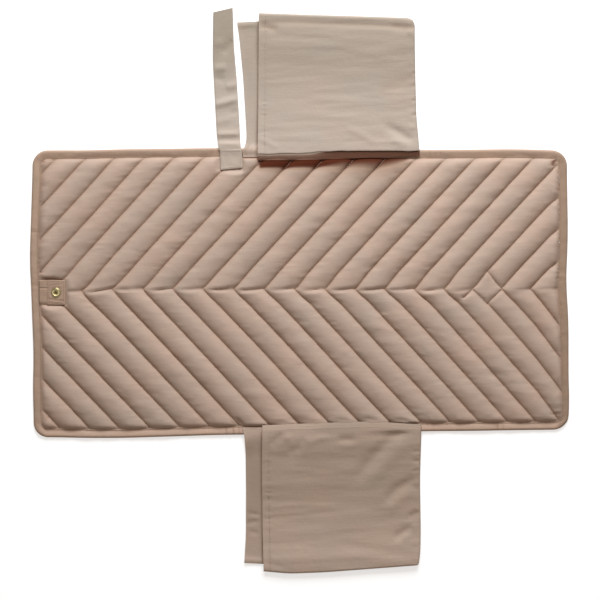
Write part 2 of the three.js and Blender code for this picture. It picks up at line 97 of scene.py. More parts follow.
# A small diamond near the right end, where the sewing ran past two turns: the numbers of the seams,
# its upper and lower corner, how far one seam ran on past its left corner, and x of its middle
DIAMOND_TURNS = (13, 14)
DIAMOND_TOP, DIAMOND_BOTTOM = 29.6 * MM, -15.4 * MM
OVERRUN = (-13.5 * MM, -11.8 * MM)
DIAMOND_NEAR = 262 * MM

# The lower edge of the upper pocket where it lies on the quilt
HINGE_X = np.array((-80, -60, -56, 10, 75, 168)) * MM
HINGE_Y = np.array((188.5, 188.5, 184.7, 185.4, 187.6, 191)) * MM
# How far the shade under that edge reaches, and over what distance it fades
SHADE_X = np.array((-81, -79, -60, -57, 34, 60, 108, 120, 134, 146, 157)) * MM
SHADE_REACH = np.array((0, 1.0, 1.0, 9.8, 9.4, 2.5, 3.0, 3.0, 2.0, 0.8, 0)) * MM
SHADE_FADE = np.array((1, 1.2, 1.2, 12, 13, 34, 44, 42, 34, 24, 8.0)) * MM

# The upper edge of the lower pocket where it lies on the quilt
LOWER_EDGE_X = np.array((-52, -3, 81, 114, 171)) * MM
LOWER_EDGE_Y = np.array((-183.5, -182, -179.5, -180.5, -184.5)) * MM

# Tucks at the binding's inner corners, beside the strap and above the snap patch, in millimetres:
# a line's two ends, then its height and width
CORNER_TUCKS = (
    (-364, 189, -356, 181, -1.6, 2.2), (-352, 187, -344, 187, -0.9, 2.4),
    (362, 189, 352, 178, -1.8, 2.2), (360, 176, 350, 186, -0.9, 2.2),
    (346, -177, 362, -175.5, -0.9, 1.6), (350, -172.5, 362, -172, 0.6, 1.6),
    (352, -181, 362, -180, -0.8, 1.4), (-360, -178, -352, -170, -0.7, 2.6),
    (-98, -180, -88, -186, -0.9, 2.0), (-90, -176, -80, -184, -1.0, 2.0),
    (-364, 25.4, -352, 24.4, 1.0, 1.4), (-363, 28.8, -355, 28, -1.2, 1.2),
    (-361, 21.2, -352, 21, -1.1, 1.3),
)


# Flat sizes of the cut cloth, for the left and the right half where there are two
TOP_FLAT = ((0.45, 0.41), (0.36, 0.41))
BACK_FLAT = ((0.45, 0.40), (0.36, 0.40))
BINDING_FLAT = 0.033
PATCH_FLAT = (0.026, 0.035)
NECK_FLAT = (0.0135, 0.034)
BASE_FLAT = (0.031, 0.030)
FACE_FLAT = (0.031, 0.2)
LINING_FLAT = (0.030, 0.2)
POCKET_FRONT_FLAT = (0.23, 0.215)
POCKET_BACK_FLAT = (0.25, 0.195)


# Settings shown in the sidebar

def length(name, description, default):
    """A setting in metres."""
    return FloatProperty(
        name=name, description=description, default=default, unit="LENGTH", precision=5
    )


def share(name, description, default):
    """A setting from 0 to 1."""
    return FloatProperty(name=name, description=description, default=default, min=0, soft_max=1)


def colour(name, description, default):
    """A setting that holds a colour."""
    return FloatVectorProperty(
        name=name, description=description, default=default, size=3, subtype="COLOR", min=0, max=1
    )


def count(name, description, default):
    """A setting that holds a whole number."""
    return IntProperty(name=name, description=description, default=default, min=1)


class QuiltSizes(bpy.types.PropertyGroup):
    """Sizes of the quilting and its layers"""

    pitch: length("Channel spacing", "Distance between seams, along the mat", 0.04206)
    angle: FloatProperty(
        name="Channel angle",
        description="Angle between the seams and the mat's long side",
        default=math.radians(47),
        subtype="ANGLE",
        unit="ROTATION",
    )
    first_seam: length("First seam", "Where one seam turns at the spine", -0.3035)
    spine: length("Spine", "How far the line of turns lies from the middle", 0.0053)
    crown: length("Crown height", "Top of a channel above the floor", 0.0088)
    seam: length("Seam height", "Top of the cloth at a seam", 0.0032)
    pucker: length("Pucker height", "Height of the small gathers beside a seam", 0.0008)
    draw_in: length("Draw-in", "Width over which the quilting sinks towards the binding", 0.016)
    dimple: length("Back dimple", "How far the back cover is drawn in at a seam", 0.0013)
    cloth: length("Cloth", "Thickness of the cotton", 0.0005)
    columns: count("Columns", "Faces across one channel", 16)
    rows: count("Rows", "Faces across the mat", 204)


class BindingSizes(bpy.types.PropertyGroup):
    """Sizes of the bound edge"""

    width: length("Width", "How far the binding reaches over the mat", 0.012)
    corner: length("Corner radius", "Radius of the mat's corners", 0.021)
    join: length("Join", "Where the two halves of the binding meet", 0.045)
    cloth: length("Cloth", "Thickness of the folded cotton", 0.0005)
    wobble: length("Wobble", "Unevenness of the bound edge", 0.0006)


class ThreadSizes(bpy.types.PropertyGroup):
    """Sizes of the sewing thread"""

    radius: length("Radius", "Half the thickness of the thread", 0.00022)
    stitch: length("Stitch", "Distance from one stitch to the next", 0.0034)


class PocketSizes(bpy.types.PropertyGroup):
    """Sizes of both pockets"""

    cloth: length("Cloth", "Thickness of the cotton", 0.0006)
    hem: length("Hem", "Width of the mouth's hem", 0.0095)


class StrapSizes(bpy.types.PropertyGroup):
    """Sizes of the strap and the patches that are sewn down"""

    cloth: length("Cloth", "Thickness of one doubled layer", 0.001)
    patch: length("Patch", "Thickness of the snap's patch", 0.002)


class Colours(bpy.types.PropertyGroup):
    """Colours of the cloth, thread and metal"""

    quilt: colour("Quilt", "Cotton of the quilted top", (0.578, 0.438, 0.351))
    # Painted shade: the colour that the cloth is darkened towards in seams, creases and painted shadows
    fold: colour("Quilt seams", "The same cotton down in the seams", (0.44, 0.285, 0.2))
    # Painted light: both pockets are sewn from one cotton; their colours differ to paint the cooler light on
    # the upper pocket and the warmer light on the lower one
    upper_pocket: colour("Upper pocket", "Cotton of the upper pocket", (0.57, 0.481, 0.404))
    lower_pocket: colour("Lower pocket", "Cotton of the lower pocket", (0.665, 0.521, 0.422))
    strap: colour("Strap", "Cotton of the strap and its base", (0.544, 0.468, 0.392))
    binding: colour("Binding", "Cotton of the bound edge", (0.634, 0.457, 0.35))
    back: colour("Back", "Cotton of the back cover", (0.49, 0.37, 0.29))
    wadding: colour("Wadding", "Fibre inside the quilt", (0.83, 0.79, 0.71))
    thread: colour("Thread", "Sewing thread", (0.47, 0.345, 0.26))
    brass: colour("Brass", "The snaps", (0.74, 0.62, 0.32))
    # Painted shade: dark brass for the post inside the socket, standing in for the shade in its hollow
    hollow: colour("Brass, hollow", "The snaps' dark insides", (0.20, 0.13, 0.05))


class StudioSizes(bpy.types.PropertyGroup):
    """Light, floor and camera"""

    key: FloatProperty(
        name="Window", description="Power of the soft window light", default=37, unit="POWER"
    )
    fill: share("Fill", "Strength of the light from all round", 0.24)
    fill_tint: colour("Fill tint", "Colour of the light from all round", (1, 0.86, 0.74))
    floor: share("Floor", "How pale the floor is", 0.85)
    lift: share("Floor lift", "How far the floor is lifted towards white for the camera", 0.58)


class MatSettings(bpy.types.PropertyGroup):
    """Everything that can be changed before building"""

    quilt: PointerProperty(type=QuiltSizes)
    binding: PointerProperty(type=BindingSizes)
    thread: PointerProperty(type=ThreadSizes)
    pocket: PointerProperty(type=PocketSizes)
    strap: PointerProperty(type=StrapSizes)
    colours: PointerProperty(type=Colours)
    studio: PointerProperty(type=StudioSizes)


def settings():
    """The sizes and colours that the sidebar shows."""
    return bpy.context.scene.changing_mat


# Shapes shared by several pieces

def patchy(x, y, seed):
    """Smooth uneven values from -1 to 1, about one change per unit."""
    x, y = np.broadcast_arrays(np.asarray(x, float), np.asarray(y, float))
    x0, y0 = np.floor(x), np.floor(y)
    fx, fy = x - x0, y - y0
    sx, sy = fx * fx * (3 - 2 * fx), fy * fy * (3 - 2 * fy)

    def at(i, j):
        n = np.sin((x0 + i) * 127.1 + (y0 + j) * 311.7 + seed * 74.7) * 43758.5453
        return 2 * (n - np.floor(n)) - 1

    low = at(0, 0) * (1 - sx) + at(1, 0) * sx
    high = at(0, 1) * (1 - sx) + at(1, 1) * sx
    return low * (1 - sy) + high * sy


def eased(value):
    """From 0 to 1 without corners."""
    value = np.clip(value, 0, 1)
    return value * value * (3 - 2 * value)


def bell(value, width):
    """1 where the value is 0, falling softly away on both sides."""
    return np.exp(-((value / width) ** 2))


def quarter_round(value):
    """From 0 to 1 like a quarter of a circle: steep at first, and level at the end."""
    value = np.clip(value, 0, 1)
    return np.sqrt(value * (2 - value))


def lower_of(height, cap):
    """The lower of two heights, with a soft change from one to the other."""
    soft = 0.35 * MM
    return -soft * np.log(np.exp(-height / soft) + np.exp(-cap / soft))


def edge_reach(edge, at, places):
    """How far out an edge lies, read from its table without corners."""
    spread = (-20 * MM, -10 * MM, 0, 10 * MM, 20 * MM)
    return sum(np.interp(at + step, places, edge) for step in spread) / len(spread) * MM


def as_laid(x, y):
    """Moves places on the straight-edged mat to where they lie."""
    across = np.where(y > 0, edge_reach(TOP_EDGE, x, EDGE_X), edge_reach(BOTTOM_EDGE, x, EDGE_X))
    along = np.where(x > 0, edge_reach(RIGHT_EDGE, y, EDGE_Y), edge_reach(LEFT_EDGE, y, EDGE_Y))
    # The seams hook down at the right end, and the spine dips at its first turn on the left
    sunk = 3.4 * MM * eased((x - 346 * MM) / (17 * MM)) * eased((y - 12 * MM) / (20 * MM))
    sunk *= eased((172 * MM - y) / (20 * MM))
    sunk += 2.6 * MM * np.exp(-(((x + 303 * MM) / (24 * MM)) ** 2) - (((y - 5 * MM) / (24 * MM)) ** 2))
    # Near the lower right corner the quilting reaches further out, and the binding is narrower
    out = 2.6 * MM * eased((-20 * MM - y) / (120 * MM)) * eased((x - 325 * MM) / (37 * MM))
    out = out * (y > -189 * MM) * np.clip((HALF_LENGTH - x) / (12 * MM), 0, 1)
    return x * along / HALF_LENGTH + out, (y + spine_bow(x, y) - sunk) * across / HALF_WIDTH


def spine_bow(x, y):
    """Between two turns of the seams the line of the spine bows down."""
    q = settings().quilt
    number = (x - q.first_seam) / q.pitch
    share = np.clip(number - np.floor(number), 0, 1)
    bow = np.sin(math.pi * share ** 0.8) * (1 + 0.35 * patchy(np.floor(number), 0, 2))
    inside = eased((inside_binding(x, y) - 14 * MM) / (20 * MM))
    return -2.3 * MM * bow * inside * bell(y - q.spine, 13 * MM)


def from_segment(x, y, x0, y0, x1, y1):
    """Distance from a straight line between two points, and the share of the way along it."""
    dx, dy = x1 - x0, y1 - y0
    along = np.clip(((x - x0) * dx + (y - y0) * dy) / (dx * dx + dy * dy), 0, 1)
    return np.hypot(x - x0 - along * dx, y - y0 - along * dy), along


def folds(x, y, lines):
    """The rise of soft folds, each given by two or more points along it, its height and its width."""
    rise = np.zeros_like(x)
    for *points, height, width in lines:
        points = np.array(points).reshape(-1, 2) * MM
        steps = len(points) - 1
        away, along = np.full_like(x, 1.0), np.zeros_like(x)
        for i in range(steps):
            far, share = from_segment(x, y, *points[i], *points[i + 1])
            along = np.where(far < away, (i + share) / steps, along)
            away = np.minimum(far, away)
        taper = 1 - (2 * along - 1) ** 4
        rise += height * MM * bell(away, width * MM) * (0.25 + 0.75 * taper)
    return rise


def inside_binding(x, y):
    """Distance in from the binding's inner edge; negative under the binding."""
    b = settings().binding
    radius = b.corner - b.width
    qx = np.abs(x) - (HALF_LENGTH - b.width - radius)
    qy = np.abs(y) - (HALF_WIDTH - b.width - radius)
    outside = np.hypot(np.maximum(qx, 0), np.maximum(qy, 0))
    return radius - outside - np.minimum(np.maximum(qx, qy), 0)


def from_box(x, y, low, high):
    """Distance out from an upright box's sides."""
    dx = np.maximum(np.maximum(low.x - x, x - high.x), 0)
    dy = np.maximum(np.maximum(low.y - y, y - high.y), 0)
    return np.hypot(dx, dy)


def mesh_object(name, mesh, material):
    """Puts a mesh into the scene as a smooth-shaded object."""
    made = bpy.data.objects.new(name, mesh)
    bpy.context.scene.collection.objects.link(made)
    mesh.materials.clear()
    mesh.materials.append(material)
    mesh.polygons.foreach_set("use_smooth", [True] * len(mesh.polygons))
    return made


def baked(made):
    """Applies the modifiers, so that the mesh is final, and keeps its rims crisp."""
    bpy.context.view_layer.update()
    graph = bpy.context.evaluated_depsgraph_get()
    mesh = bpy.data.meshes.new_from_object(
        made.evaluated_get(graph), preserve_all_data_layers=True, depsgraph=graph
    )
    made.modifiers.clear()
    old = made.data
    made.data = mesh
    bpy.data.meshes.remove(old)
    mesh.name = made.name
    mesh.set_sharp_from_angle(angle=SHARP_ANGLE)
    return made


def set_places(mesh, places):
    """Moves a mesh's points."""
    mesh.vertices.foreach_set("co", np.asarray(places, np.float32).ravel())
    mesh.update()


def get_places(mesh):
    """A mesh's points as rows of x, y and z."""
    places = np.zeros(len(mesh.vertices) * 3, np.float32)
    mesh.vertices.foreach_get("co", places)
    return places.reshape(-1, 3).astype(float)


def set_cloth_uv(mesh, flat):
    """Lays the weave on the cloth: flat is each point's place on the cut cloth, in metres."""
    corners = np.zeros(len(mesh.loops), np.int32)
    mesh.loops.foreach_get("vertex_index", corners)
    layer = mesh.uv_layers.new(name="Cloth")
    layer.data.foreach_set("uv", np.asarray(flat, np.float32)[corners].ravel())


def keep_value(mesh, name, values):
    """Keeps a value at each point for the material."""
    layer = mesh.attributes.new(name, "FLOAT", "POINT")
    layer.data.foreach_set("value", np.clip(values, 0, 1).astype(np.float32))


def mesh_of(bm, name=None, mesh=None):
    """Puts what was built into a mesh: a new one, or one that exists."""
    mesh = mesh or bpy.data.meshes.new(name)
    bm.to_mesh(mesh)
    bm.free()
    return mesh


def grid_mesh(name, columns, rows):
    """A flat grid whose x and y run from 0 to 1."""
    bm = bmesh.new()
    bmesh.ops.create_grid(bm, x_segments=columns, y_segments=rows, size=0.5)
    bmesh.ops.translate(bm, verts=bm.verts, vec=(0.5, 0.5, 0))
    return mesh_of(bm, name)


def thicken(made, thickness):
    """Gives a sheet its thickness, below the side that shows."""
    solid = made.modifiers.new("Thickness", "SOLIDIFY")
    solid.thickness = thickness
    solid.offset = -1
    solid.use_even_offset = False
    solid.use_quality_normals = True
    return baked(made)


def cloth(name, columns, rows, shape, flat_size, material, thickness, tones=None, flip=False):
    """A sheet of cloth from a grid, put in place by shape(a, b), with a and b from 0 to 1.

    tones(a, b, x, y, z) gives the values that the material reads at each point.
    """
    mesh = grid_mesh(name, columns, rows)
    share = get_places(mesh)
    a, b = share[:, 0], share[:, 1]
    set_cloth_uv(mesh, np.column_stack((a * flat_size[0], b * flat_size[1])))
    places = shape(a, b)
    set_places(mesh, np.column_stack(places))
    if tones is not None:
        for key, values in tones(a, b, *places).items():
            keep_value(mesh, key, values)
    if flip:
        mesh.flip_normals()
    return thicken(mesh_object(name, mesh, material), thickness)


def closed_path(corners, steps):
    """A closed line along corners, the first of which is also the last."""
    sides = [np.linspace(start, end, steps)[:-1] for start, end in zip(corners, corners[1:])]
    return np.concatenate(sides + [corners[:1]])


def smooth_line(table, share, samples, blur):
    """A smooth line through a table of points, at shares of its length."""
    steps = np.concatenate(([0], np.cumsum(np.hypot(*np.diff(table, axis=0).T))))
    steps = steps / steps[-1]
    fine = np.linspace(0, 1, samples)
    kernel = np.hanning(2 * blur + 1)
    kernel /= kernel.sum()
    lines = []
    for i in (0, 1):
        values = np.interp(fine, steps, table[:, i])
        before = 2 * values[0] - values[blur:0:-1]
        after = 2 * values[-1] - values[-2:-blur - 2:-1]
        long = np.concatenate((before, values, after))
        lines.append(np.interp(share, fine, np.convolve(long, kernel, "valid")))
    return np.column_stack(lines)


# Materials

class Wiring:
    """Short ways to add and join the nodes of a new material or world."""

    def __init__(self, owner):
        owner.use_nodes = True
        self.owner = owner
        self.nodes = owner.node_tree.nodes
        self.links = owner.node_tree.links
        self.shader = self.nodes.get("Principled BSDF")

    def add(self, kind, inputs=None, **values):
        """A new node, with values for its inputs or links to them."""
        node = self.nodes.new(kind)
        for key, value in values.items():
            setattr(node, key, value)
        for key, value in (inputs or {}).items():
            if isinstance(value, bpy.types.NodeSocket):
                self.links.new(value, node.inputs[key])
            else:
                node.inputs[key].default_value = value
        return node

    def math(self, operation, first, second):
        """A sum, product or other result of two values."""
        return self.add("ShaderNodeMath", {0: first, 1: second}, operation=operation).outputs[0]

    def mix(self, share, first, second):
        """A share of the way from one colour to another."""
        node = self.add("ShaderNodeMix", {"Factor": share}, data_type="RGBA")
        for socket, value in ((node.inputs[6], first), (node.inputs[7], second)):
            if isinstance(value, bpy.types.NodeSocket):
                self.links.new(value, socket)
            else:
                socket.default_value = value
        return node.outputs[2]

    def scaled(self, vector, scale):
        """The vector stretched, for a pattern that is longer one way."""
        return self.add("ShaderNodeMapping", {"Vector": vector, "Scale": scale}).outputs[0]

    def noise(self, vector, scale, detail=3.0, roughness=0.5):
        """Soft uneven values."""
        wanted = {"Vector": vector, "Scale": scale, "Detail": detail, "Roughness": roughness}
        return self.add("ShaderNodeTexNoise", wanted).outputs["Fac"]

    def bump(self, height, strength, distance, over=None):
        """A relief, over another one where that is given."""
        wanted = {"Height": height, "Strength": strength, "Distance": distance}
        if over is not None:
            wanted["Normal"] = over
        return self.add("ShaderNodeBump", wanted).outputs[0]

    def ranged(self, value, low, high, to_low, to_high):
        """A value brought from one range to another."""
        wanted = {"From Min": low, "From Max": high, "To Min": to_low, "To Max": to_high}
        return self.add("ShaderNodeMapRange", {"Value": value, **wanted}).outputs[0]

    def band(self, vector, scale, direction):
        """Slightly uneven parallel threads."""
        wanted = {"Vector": vector, "Scale": scale, "Distortion": 0.6, "Detail": 1.0}
        wave = self.add("ShaderNodeTexWave", wanted, wave_type="BANDS", bands_direction=direction)
        return wave.outputs["Fac"]


def rgba(value, gain=1.0):
    """A colour with its alpha, all its parts brighter or darker by a gain."""
    return tuple(min(1.0, c * gain) for c in value) + (1.0,)


def tinted(value, gains):
    """A colour with its alpha, each part with a gain of its own."""
    return (value[0] * gains[0], value[1] * gains[1], value[2] * gains[2], 1)


# Gains on the cloth's own colour: its pinker and greyer clouds, and the shade on the side far from
# the window. The last is on the colour in the seams, for the deepest shade under a fold.
PINKER = (1.1, 1.02, 1.0)
GREYER = (0.98, 1.01, 1.03)
FAR_SHADE = (0.61, 0.585, 0.54)
DEEP_SHADE = (0.17, 0.042, 0.012)


def cotton(name, main, fold, thread_mm=0.55, smooth=0.5):
    """Plain-weave cotton: crossed threads, uneven yarn, faint cloudy colour and a soft bloom."""
    w = Wiring(bpy.data.materials.new(name))
    place = w.add("ShaderNodeUVMap", uv_map="Cloth").outputs[0]
    wave_scale = 0.314 / (thread_mm * MM)
    warp = w.math("SUBTRACT", w.band(place, wave_scale, "X"), 0.5)
    weft = w.math("SUBTRACT", w.band(place, wave_scale, "Y"), 0.5)
    crossing = w.math("MULTIPLY", warp, weft)
    yarn_along = w.noise(w.scaled(place, (90, 1500, 1)), 1.0, 4.0, 0.6)
    yarn_across = w.noise(w.scaled(place, (1500, 90, 1)), 1.0, 4.0, 0.6)
    yarn = w.math("ADD", yarn_along, yarn_across)
    cloud = w.noise(place, 14.0, 4.0, 0.55)
    mottle = w.noise(place, 150.0, 5.0, 0.6)
    streak = w.noise(w.scaled(place, (32, 430, 1)), 1.0, 4.0, 0.6)
    tone = w.mix(w.ranged(cloud, 0.35, 0.65, 0, 1), tinted(main, PINKER), tinted(main, GREYER))
    tone = w.mix(w.ranged(streak, 0.35, 0.65, 0, smooth), tone, rgba(main, 0.9))
    tone = w.mix(w.math("MULTIPLY", mottle, 0.4), tone, rgba(main, 1.02))
    yarn_share = w.math("MULTIPLY", w.math("SUBTRACT", yarn, 0.78), 0.5)
    tone = w.mix(yarn_share, tone, rgba(main, 0.80))
    # Painted shade: darker and redder in seams, creases and painted shadows, deepest under a fold, then
    # darker on the side far from the window
    depth = w.add("ShaderNodeAttribute", attribute_name="seam_depth").outputs["Fac"]
    tone = w.mix(depth, tone, rgba(fold))
    deep = w.ranged(depth, 0.7, 1.0, 0, 1)
    tone = w.mix(deep, tone, tinted(fold, DEEP_SHADE))
    shade = w.add("ShaderNodeAttribute", attribute_name="far_shade").outputs["Fac"]
    tone = w.mix(shade, tone, tinted(main, FAR_SHADE))
    w.links.new(tone, w.shader.inputs["Base Color"])
    relief = w.math("ADD", w.math("MULTIPLY", crossing, 0.35), w.math("MULTIPLY", yarn, 0.4))
    relief = w.bump(relief, 0.45, 0.00022)
    relief = w.bump(mottle, 0.6, 0.0006, relief)
    relief = w.bump(streak, 0.6 * smooth, 0.0009, relief)
    w.links.new(relief, w.shader.inputs["Normal"])
    rough = w.ranged(yarn, 0.6, 1.4, 0.8, 0.97)
    w.links.new(rough, w.shader.inputs["Roughness"])
    w.shader.inputs["Specular IOR Level"].default_value = 0.1
    w.shader.inputs["Sheen Weight"].default_value = 0.05
    w.shader.inputs["Sheen Roughness"].default_value = 0.45
    w.shader.inputs["Sheen Tint"].default_value = rgba(main, 1.6)
    return w.owner


def fibre(name, main):
    """Loose white fibre."""
    w = Wiring(bpy.data.materials.new(name))
    place = w.add("ShaderNodeTexCoord").outputs["Object"]
    strands = w.noise(place, 260.0, 8.0, 0.75)
    lumps = w.noise(place, 45.0, 4.0, 0.6)
    tone = w.mix(strands, rgba(main, 0.88), rgba(main, 1.05))
    tone = w.mix(w.math("MULTIPLY", lumps, 0.3), tone, rgba(main, 0.9))
    w.links.new(tone, w.shader.inputs["Base Color"])
    w.links.new(w.bump(strands, 0.8, 0.001), w.shader.inputs["Normal"])
    w.shader.inputs["Roughness"].default_value = 1.0
    w.shader.inputs["Sheen Weight"].default_value = 0.3
    return w.owner


def twisted_thread(name, main):
    """Two-ply sewing thread, its twist along the UV map's length."""
    w = Wiring(bpy.data.materials.new(name))
    place = w.add("ShaderNodeUVMap", uv_map="Cloth").outputs[0]
    ply = w.add(
        "ShaderNodeTexWave",
        {"Vector": place, "Scale": 300.0, "Distortion": 1.0},
        wave_type="BANDS",
        bands_direction="DIAGONAL",
    ).outputs["Fac"]
    lint = w.noise(place, 900.0, 3.0)
    tone = w.mix(ply, rgba(main, 0.82), rgba(main, 1.12))
    tone = w.mix(w.math("MULTIPLY", lint, 0.4), tone, rgba(main))
    w.links.new(tone, w.shader.inputs["Base Color"])
    w.links.new(w.bump(ply, 0.5, 0.0001), w.shader.inputs["Normal"])
    w.shader.inputs["Roughness"].default_value = 0.7
    w.shader.inputs["Specular IOR Level"].default_value = 0.35
    return w.owner


def brass_metal(name, main):
    """Pressed brass: polished, with faint turning marks, small scuffs, and painted shade and reflection that
    darken its hollows.
    """
    w = Wiring(bpy.data.materials.new(name))
    place = w.add("ShaderNodeTexCoord").outputs["Object"]
    scuffs = w.noise(place, 1400.0, 6.0, 0.7)
    cloud = w.noise(place, 240.0, 3.0)
    tone = w.mix(cloud, rgba(main, 0.85), rgba(main, 1.08))
    tone = w.mix(w.math("MULTIPLY", scuffs, 0.3), tone, (0.42, 0.27, 0.10, 1))
    # Painted shade and reflection, where the turned part keeps a value for it
    brass_shade = w.add("ShaderNodeAttribute", attribute_name="brass_shade").outputs["Fac"]
    tone = w.mix(brass_shade, tone, rgba(main, 0.3))
    w.links.new(tone, w.shader.inputs["Base Color"])
    w.links.new(w.ranged(scuffs, 0, 1, 0.16, 0.42), w.shader.inputs["Roughness"])
    w.links.new(w.bump(scuffs, 0.15, 0.0001), w.shader.inputs["Normal"])
    w.shader.inputs["Metallic"].default_value = 1.0
    return w.owner


def finish(name):
    """The named material, made when it is first wanted."""
    found = bpy.data.materials.get(name)
    if found is not None:
        return found
    c = settings().colours
    makers = {
        "quilt_weave": lambda: cotton(name, c.quilt, c.fold),
        # The two pockets' materials: one cotton in two colours, painted for the light on each pocket
        "upper_pocket_weave": lambda: cotton(name, c.upper_pocket, c.fold, 0.5, 0.35),
        "lower_pocket_weave": lambda: cotton(name, c.lower_pocket, c.fold, 0.5, 0.35),
        "strap_weave": lambda: cotton(name, c.strap, c.fold, smooth=0.3),
        "binding_weave": lambda: cotton(name, c.binding, c.fold),
        "back_weave": lambda: cotton(name, c.back, c.fold),
        "wadding_fibre": lambda: fibre(name, c.wadding),
        "sewing_thread": lambda: twisted_thread(name, c.thread),
        "pocket_thread": lambda: twisted_thread(name, c.upper_pocket),
        "snap_brass": lambda: brass_metal(name, c.brass),
        "hollow_shade_brass": lambda: brass_metal(name, c.hollow),
    }
    return makers[name]()


# Quilting

def wander(x, y):
    """How far a seam strays sideways from its straight line."""
    row = np.interp(y - settings().quilt.spine, STRAY_Y, np.arange(len(STRAY_Y)))
    stray = 1.1 * patchy(x / 0.11, y / 0.09, 3)
    for i, values in enumerate(STRAY):
        stray = stray + np.interp(x, STRAY_X, values) * np.clip(1 - np.abs(row - i), 0, 1)
    return stray * MM


def seam_place(u, y):
    """x of the seam line numbered by u, its turning point on the spine, at a height y."""
    q = settings().quilt
    straight = u + np.abs(y - q.spine) / math.tan(q.angle)
    x = straight
    for _ in range(9):
        x = straight + wander(x, y)
    return x


def seam_number(x, y):
    """Counts the seams along the mat: whole numbers lie on a seam, halves on a crown."""
    q = settings().quilt
    u = x - np.abs(y - q.spine) / math.tan(q.angle) - wander(x, y)
    return (u - q.first_seam) / q.pitch


def puff(x, y):
    """How far the quilt is puffed up at a place: 0 in a seam, about 1 on a crown."""
    q = settings().quilt
    number = seam_number(x, y)
    channel = np.floor(number + 1e-4)
    across = np.clip(number - channel, 0, 1)
    side = np.where(y > q.spine, 1.0, 2.0)
    along = np.abs(y - q.spine) / math.sin(q.angle)
    rise = np.sin(math.pi * across) ** 0.6
    swell = 0.06 * patchy(along / 0.07, channel * 3.7 + side * 11, 6)
    rise *= 1 + 0.05 * patchy(channel, side * 9, 5) + swell
    crease = 0.42 * (1 - 0.7 * eased((x - 0.2) / 0.02)) + 0.14 * patchy(x / 0.013, channel, 7)
    rise *= 1 - bell(along, 3.4 * MM) * crease
    near = (np.abs(x - DIAMOND_NEAR) < 0.06) & (np.abs(y) < 0.06)
    if near.any():
        rise[near] = with_diamond(x[near], y[near], rise[near])
    return rise


def diamond_corners():
    """The small diamond's corners on the plan, from the top round by the right."""
    q = settings().quilt
    left, right = (q.first_seam + q.pitch * number for number in DIAMOND_TURNS)
    places = ((left, DIAMOND_TOP), (right, q.spine), (left, DIAMOND_BOTTOM), (left, q.spine))
    return [(float(seam_place(np.array(u), np.array(y))), y) for u, y in places]


def overrun_seams():
    """The short extra seams: both right sides of the diamond, and the run past its left corner."""
    top, right, bottom, left = diamond_corners()
    past = (left[0] + OVERRUN[0], left[1] + OVERRUN[1])
    return ((right, top), (right, bottom), (left, past))


def with_diamond(x, y, rise):
    """The puff near the small diamond: low and flat in it, and pinched along the extra seams."""
    pillow, inside = diamond_depth(x, y)
    for start, end in overrun_seams():
        away, _ = from_segment(x, y, *start, *end)
        rise = rise * (1 - 0.72 * np.exp(-away / (2.6 * MM)))
    return np.where(inside, 0.25 + 0.5 * (1 - np.exp(-pillow / (3.2 * MM))), rise)


def diamond_depth(x, y):
    """Distance in from the small diamond's sides, and whether a place lies inside it."""
    depth = np.full_like(x, 1.0)
    inside = np.full(x.shape, True)
    corners = diamond_corners()
    for (x0, y0), (x1, y1) in zip(corners, corners[1:] + corners[:1]):
        away, _ = from_segment(x, y, x0, y0, x1, y1)
        depth = np.minimum(depth, away)
        inside &= (x1 - x0) * (y - y0) - (y1 - y0) * (x - x0) < 0
    return depth, inside


def pucker(x, y):
    """Small gathers that run out from the seams."""
    q = settings().quilt
    number = seam_number(x, y)
    nearest = np.round(number)
    away = np.abs(number - nearest) * q.pitch * math.sin(q.angle)
    side = np.where(y > q.spine, 1.0, 2.0)
    along = np.abs(y - q.spine) / math.sin(q.angle)
    bank = nearest * 5.1 + side * 17 + np.where(number > nearest, 2.3, 0)
    gathers = patchy(along / (4.6 * MM), bank, 8) + 0.5 * patchy(along / (2.9 * MM), bank, 9)
    strength = 0.6 + 0.4 * patchy(along / 0.045, nearest, 10)
    fading = np.exp(-((away / (6.5 * MM)) ** 1.5))
    return gathers * strength * fading * (1 - np.exp(-away / (1.3 * MM)))


def draw_in(x, y):
    """How full the quilt is, from 0 at the binding to 1: it sinks early or late in some places."""
    q = settings().quilt
    at_right = eased((x - 330 * MM) / (20 * MM)) * eased((175 * MM - np.abs(y)) / (15 * MM))
    at_pocket = (y < -170 * MM) * eased((x + 85 * MM) / (12 * MM)) * eased((180 * MM - x) / (12 * MM))
    reach = q.draw_in * (1 - 0.45 * at_right - 0.8 * at_pocket)
    inside = inside_binding(x, y)
    edge = quarter_round(inside / reach)
    at_bottom = (y < -150 * MM) * (1 - at_pocket) * eased((350 * MM - np.abs(x)) / (20 * MM))
    full = (0.44 + 0.56 * quarter_round(inside / (30 * MM))) * eased(inside / (2.2 * MM))
    return edge * (1 - at_bottom) + full * at_bottom


